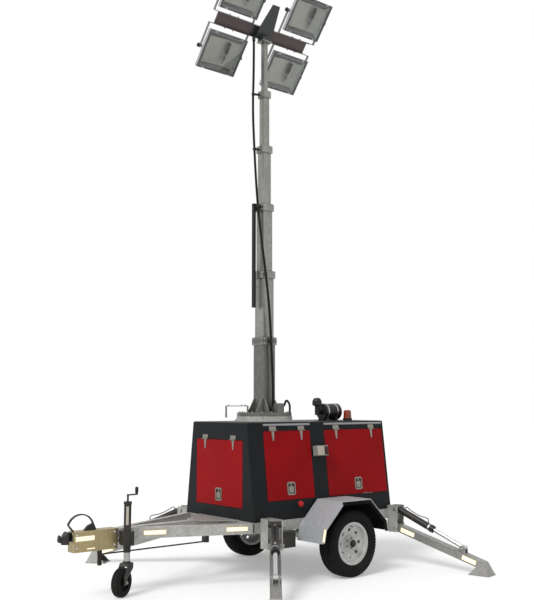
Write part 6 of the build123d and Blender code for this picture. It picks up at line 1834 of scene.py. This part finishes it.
class LIGHTTOWER_OT_beacon(bpy.types.Operator):
    """Adds the ribbed dome of the beacon"""

    bl_idname = "lighttower.beacon"
    bl_label = "Beacon"

    def execute(self, context):
        lowest, highest = low("beacon_lens"), high("beacon_lens")
        centre = (lowest + highest) / 2
        tall = highest[2] - lowest[2]
        radius = (highest[0] - lowest[0]) / 2
        crown_rise = np.sin(np.linspace(0.2, 1.0, 7) * np.pi / 2)
        crown_spread = np.cos(np.linspace(0.2, 0.99, 7) * np.pi / 2) ** 0.6
        heights = np.concatenate([np.linspace(0.0, DOME_WALL, 22), DOME_WALL + 0.22 * crown_rise])
        spread = np.concatenate([np.linspace(1.0, DOME_WAIST, 22), DOME_WAIST * crown_spread])
        rings = 1.0 - DOME_RIB * (np.arange(len(heights)) % 2) * (heights < 0.75)
        angles = even_angles(DOME_SIDES)
        flutes = 1.0 - DOME_RIB * (np.arange(DOME_SIDES) % 4 == 0)
        size = radius * (spread * rings)[:, None] * flutes[None, :]
        points = np.stack([size * np.cos(angles), size * np.sin(angles),
                           np.repeat((heights * tall)[:, None], DOME_SIDES, axis=1)], axis=-1)
        foot = level_spot((centre[0], centre[1], lowest[2]))
        form = sheet(points, round_columns=True, ends=True).at(foot)
        dome = make_piece("beacon_dome", form, "amber", "trailer")
        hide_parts("beacon_lens")
        return {"FINISHED"}


OUTLET_FACE = 0.062
OUTLET_LID_ALONG = -0.026
OUTLET_SOCKET_ALONG = 0.045
OUTLET_SCREW_X = 0.0705
OUTLET_SCREW_Y = 0.0475
STOP_BEFORE_AXLE = 0.427
STOP_RISE = 0.136


class LIGHTTOWER_OT_outlets(bpy.types.Operator):
    """Adds the lid, sockets and screws of the outlet box, and the stop button"""

    bl_idname = "lighttower.outlets"
    bl_label = "Outlets and stop button"

    def execute(self, context):
        lowest, highest = low("outlet_box"), high("outlet_box")
        middle_y = (lowest[1] + highest[1]) / 2
        middle_z = (lowest[2] + highest[2]) / 2
        wall = wall_spot(1.0)
        rise = (middle_z - CANOPY_LOW - OUTLET_FACE / 2 * math.sin(LEAN)) / math.cos(LEAN)
        face = wall.moved(middle_y, rise, OUTLET_FACE)
        lid = slab(0.086, 0.090, 0.008, 0.012, 0.002).at(face.moved(OUTLET_LID_ALONG))
        make_piece("outlet_lid", lid, "pale plate", "trailer")
        plug = turned([(0.017, 0.0), (0.017, 0.022), (0.014, 0.024)], 28)
        sockets = together(slab(0.044, 0.078, 0.006, 0.016, 0.003).at(face.moved(OUTLET_SOCKET_ALONG)),
                           plug.at(face.moved(OUTLET_SOCKET_ALONG, -0.012)))
        make_piece("outlet_sockets", sockets, "socket brown", "trailer")
        post = wall.moved(AXLE[1] - STOP_BEFORE_AXLE, STOP_RISE)
        base = turned([(0.036, 0.0), (0.036, 0.006), (0.030, 0.010), (0.018, 0.010), (0.018, 0.020)], 36)
        plastic_piece("stop_button_base", base.at(post), "trailer")
        head = turned([(0.016, 0.018), (0.028, 0.020), (0.030, 0.026), (0.027, 0.033), (0.016, 0.037),
                       (0.002, 0.038)], 36)
        make_piece("stop_button", head.at(post), "red plastic", "trailer")
        screws = four_spots(face, OUTLET_SCREW_X, OUTLET_SCREW_Y)
        plated_piece("outlet_screws", rivet(0.0035).at(*screws), "trailer")
        return {"FINISHED"}


TAIL_LAMP_W = 0.150
TAIL_BAR_X = 0.025
TAIL_SCREW_X = 0.060


class LIGHTTOWER_OT_tail_lamps(bpy.types.Operator):
    """Adds the frames, bars and screws of the tail lamps"""

    bl_idname = "lighttower.tail_lamps"
    bl_label = "Tail lamps"

    def execute(self, context):
        lowest, highest = low("tail_lamps"), high("tail_lamps")
        middle_z = (lowest[2] + highest[2]) / 2
        tall = highest[2] - lowest[2]
        wide = TAIL_LAMP_W
        place = highest[0] - wide / 2
        faces = [Spot((side * place, highest[1], middle_z), (-1, 0, 0), (0, 1, 0)) for side in (-1, 1)]
        rim = band(rounded(wide + 0.004, tall + 0.004, 0.009), rounded(wide - 0.008, tall - 0.008, 0.006),
                   0.008, -0.006)
        bar = slab(0.004, tall - 0.008, 0.001, 0.002, 0.0005)
        bars = bar.at(*[face.moved(x) for face in faces for x in (-TAIL_BAR_X, TAIL_BAR_X)])
        plastic_piece("tail_lamp_frames", together(rim.at(*faces), bars), "trailer")
        screws = rivet(0.0035).at(*[face.moved(x * TAIL_SCREW_X) for face in faces for x in (-1, 1)])
        plated_piece("tail_lamp_screws", screws, "trailer")
        return {"FINISHED"}


KEY_SOFTNESS = math.radians(22.0)
KEY_TURN = (math.radians(46.0), 0.0, math.radians(14.0))
FLOOR_T = 0.02
FLOOR_GAP = 0.0005
SENSOR_W = 36.0
VIEW_END = 300.0


class LIGHTTOWER_OT_stage(bpy.types.Operator):
    """Sets the floor, the lights, the camera and the background"""

    bl_idname = "lighttower.stage"
    bl_label = "Stage"

    def execute(self, context):
        scene = context.scene
        settings = scene.light_tower_stage
        FINISHES["floor"] = self.floor_material()
        disc = prism(circle(settings.floor, 96), FLOOR_T, -FLOOR_T - FLOOR_GAP)
        floor = make_piece("floor", disc.at(level_spot((0, 0, 0))), "floor", None)
        lamp = bpy.data.lights.new("key", "SUN")
        lamp.energy = settings.sun
        lamp.angle = KEY_SOFTNESS
        key = bpy.data.objects.new("key", lamp)
        key.rotation_euler = KEY_TURN
        scene.collection.objects.link(key)
        lens = bpy.data.cameras.new("camera")
        lens.lens = settings.focal
        lens.sensor_width = SENSOR_W
        lens.clip_end = VIEW_END
        camera = bpy.data.objects.new("camera", lens)
        camera.location = settings.place
        camera.rotation_euler = (math.pi / 2 + settings.tilt, 0.0, settings.turn)
        scene.collection.objects.link(camera)
        scene.camera = camera
        scene.view_settings.view_transform = "Standard"
        self.light_world(scene, settings.sky)
        return {"FINISHED"}

    def seen_rays(self, tree):
        """One for rays from the camera, a gloss or a clear body, and nought for the rest."""
        rays = add(tree, "ShaderNodeLightPath").outputs
        shown = worked(tree, "MAXIMUM", rays["Is Camera Ray"], rays["Is Glossy Ray"])
        return worked(tree, "MAXIMUM", shown, rays["Is Transmission Ray"])

    def floor_material(self):
        """A pale matt floor that keeps the shadow and is white where nothing shades it."""
        made = Finish("Floor", Base_Color=(0.80, 0.80, 0.80, 1.0), Roughness=1.0, Specular_IOR_Level=0.0)
        tree = made.tree
        made.set("Emission Color",
                 mixed(tree, 1.0, (0.30, 0.30, 0.30, 1.0), self.seen_rays(tree), "MULTIPLY"))
        made.shader.inputs["Emission Strength"].default_value = 1.0
        return made.material

    def light_world(self, scene, strength):
        """An even sky: white to the camera and to gloss, and soft as a light."""
        world = bpy.data.worlds.new("world")
        world.use_nodes = True
        scene.world = world
        tree = world.node_tree
        level = ramped(tree, self.seen_rays(tree), 0.0, 1.0, strength, 1.0)
        background = tree.nodes["Background"]
        background.inputs["Color"].default_value = (1.0, 1.0, 1.0, 1.0)
        feed(tree, level, background.inputs["Strength"])


OPERATORS = [
    LIGHTTOWER_OT_finishes, LIGHTTOWER_OT_tyres, LIGHTTOWER_OT_wheel_fittings, LIGHTTOWER_OT_canopy_rivets,
    LIGHTTOWER_OT_canopy_trim, LIGHTTOWER_OT_wheel_arches, LIGHTTOWER_OT_door_seals, LIGHTTOWER_OT_hinges,
    LIGHTTOWER_OT_latches, LIGHTTOWER_OT_turntable, LIGHTTOWER_OT_mast_collars, LIGHTTOWER_OT_mast_cable,
    LIGHTTOWER_OT_light_bar,
    LIGHTTOWER_OT_lamps, LIGHTTOWER_OT_outriggers, LIGHTTOWER_OT_film, LIGHTTOWER_OT_coupling,
    LIGHTTOWER_OT_jockey, LIGHTTOWER_OT_air_cleaner, LIGHTTOWER_OT_beacon, LIGHTTOWER_OT_outlets,
    LIGHTTOWER_OT_tail_lamps, LIGHTTOWER_OT_stage,
]


class LIGHTTOWER_PT_pieces(bpy.types.Panel):
    """Lists every step of the light tower"""

    bl_idname = "LIGHTTOWER_PT_pieces"
    bl_label = "Light tower"
    bl_space_type = "VIEW_3D"
    bl_region_type = "UI"
    bl_category = "Light tower"

    def draw(self, context):
        for settings in SETTINGS:
            box = self.layout.box()
            for name in settings[1].__annotations__:
                box.prop(getattr(context.scene, settings[0]), name)
        for operator in OPERATORS:
            self.layout.operator(operator.bl_idname)


SETTINGS = [
    ("light_tower_colours", LightTowerColours),
    ("light_tower_sizes", LightTowerSizes),
    ("light_tower_stage", LightTowerStage),
]


def register():
    """Registers the settings, the operators and the panel."""
    for name, settings in SETTINGS:
        bpy.utils.register_class(settings)
        setattr(bpy.types.Scene, name, bpy.props.PointerProperty(type=settings))
    for operator in OPERATORS:
        bpy.utils.register_class(operator)
    bpy.utils.register_class(LIGHTTOWER_PT_pieces)


def unregister():
    """Takes them away again."""
    bpy.utils.unregister_class(LIGHTTOWER_PT_pieces)
    for operator in reversed(OPERATORS):
        bpy.utils.unregister_class(operator)
    for name, settings in reversed(SETTINGS):
        delattr(bpy.types.Scene, name)
        bpy.utils.unregister_class(settings)


def main():
    """Runs every step in order."""
    register()
    for operator in OPERATORS:
        group, step = operator.bl_idname.split(".")
        getattr(getattr(bpy.ops, group), step)()


if __name__ == "__main__":
    main()
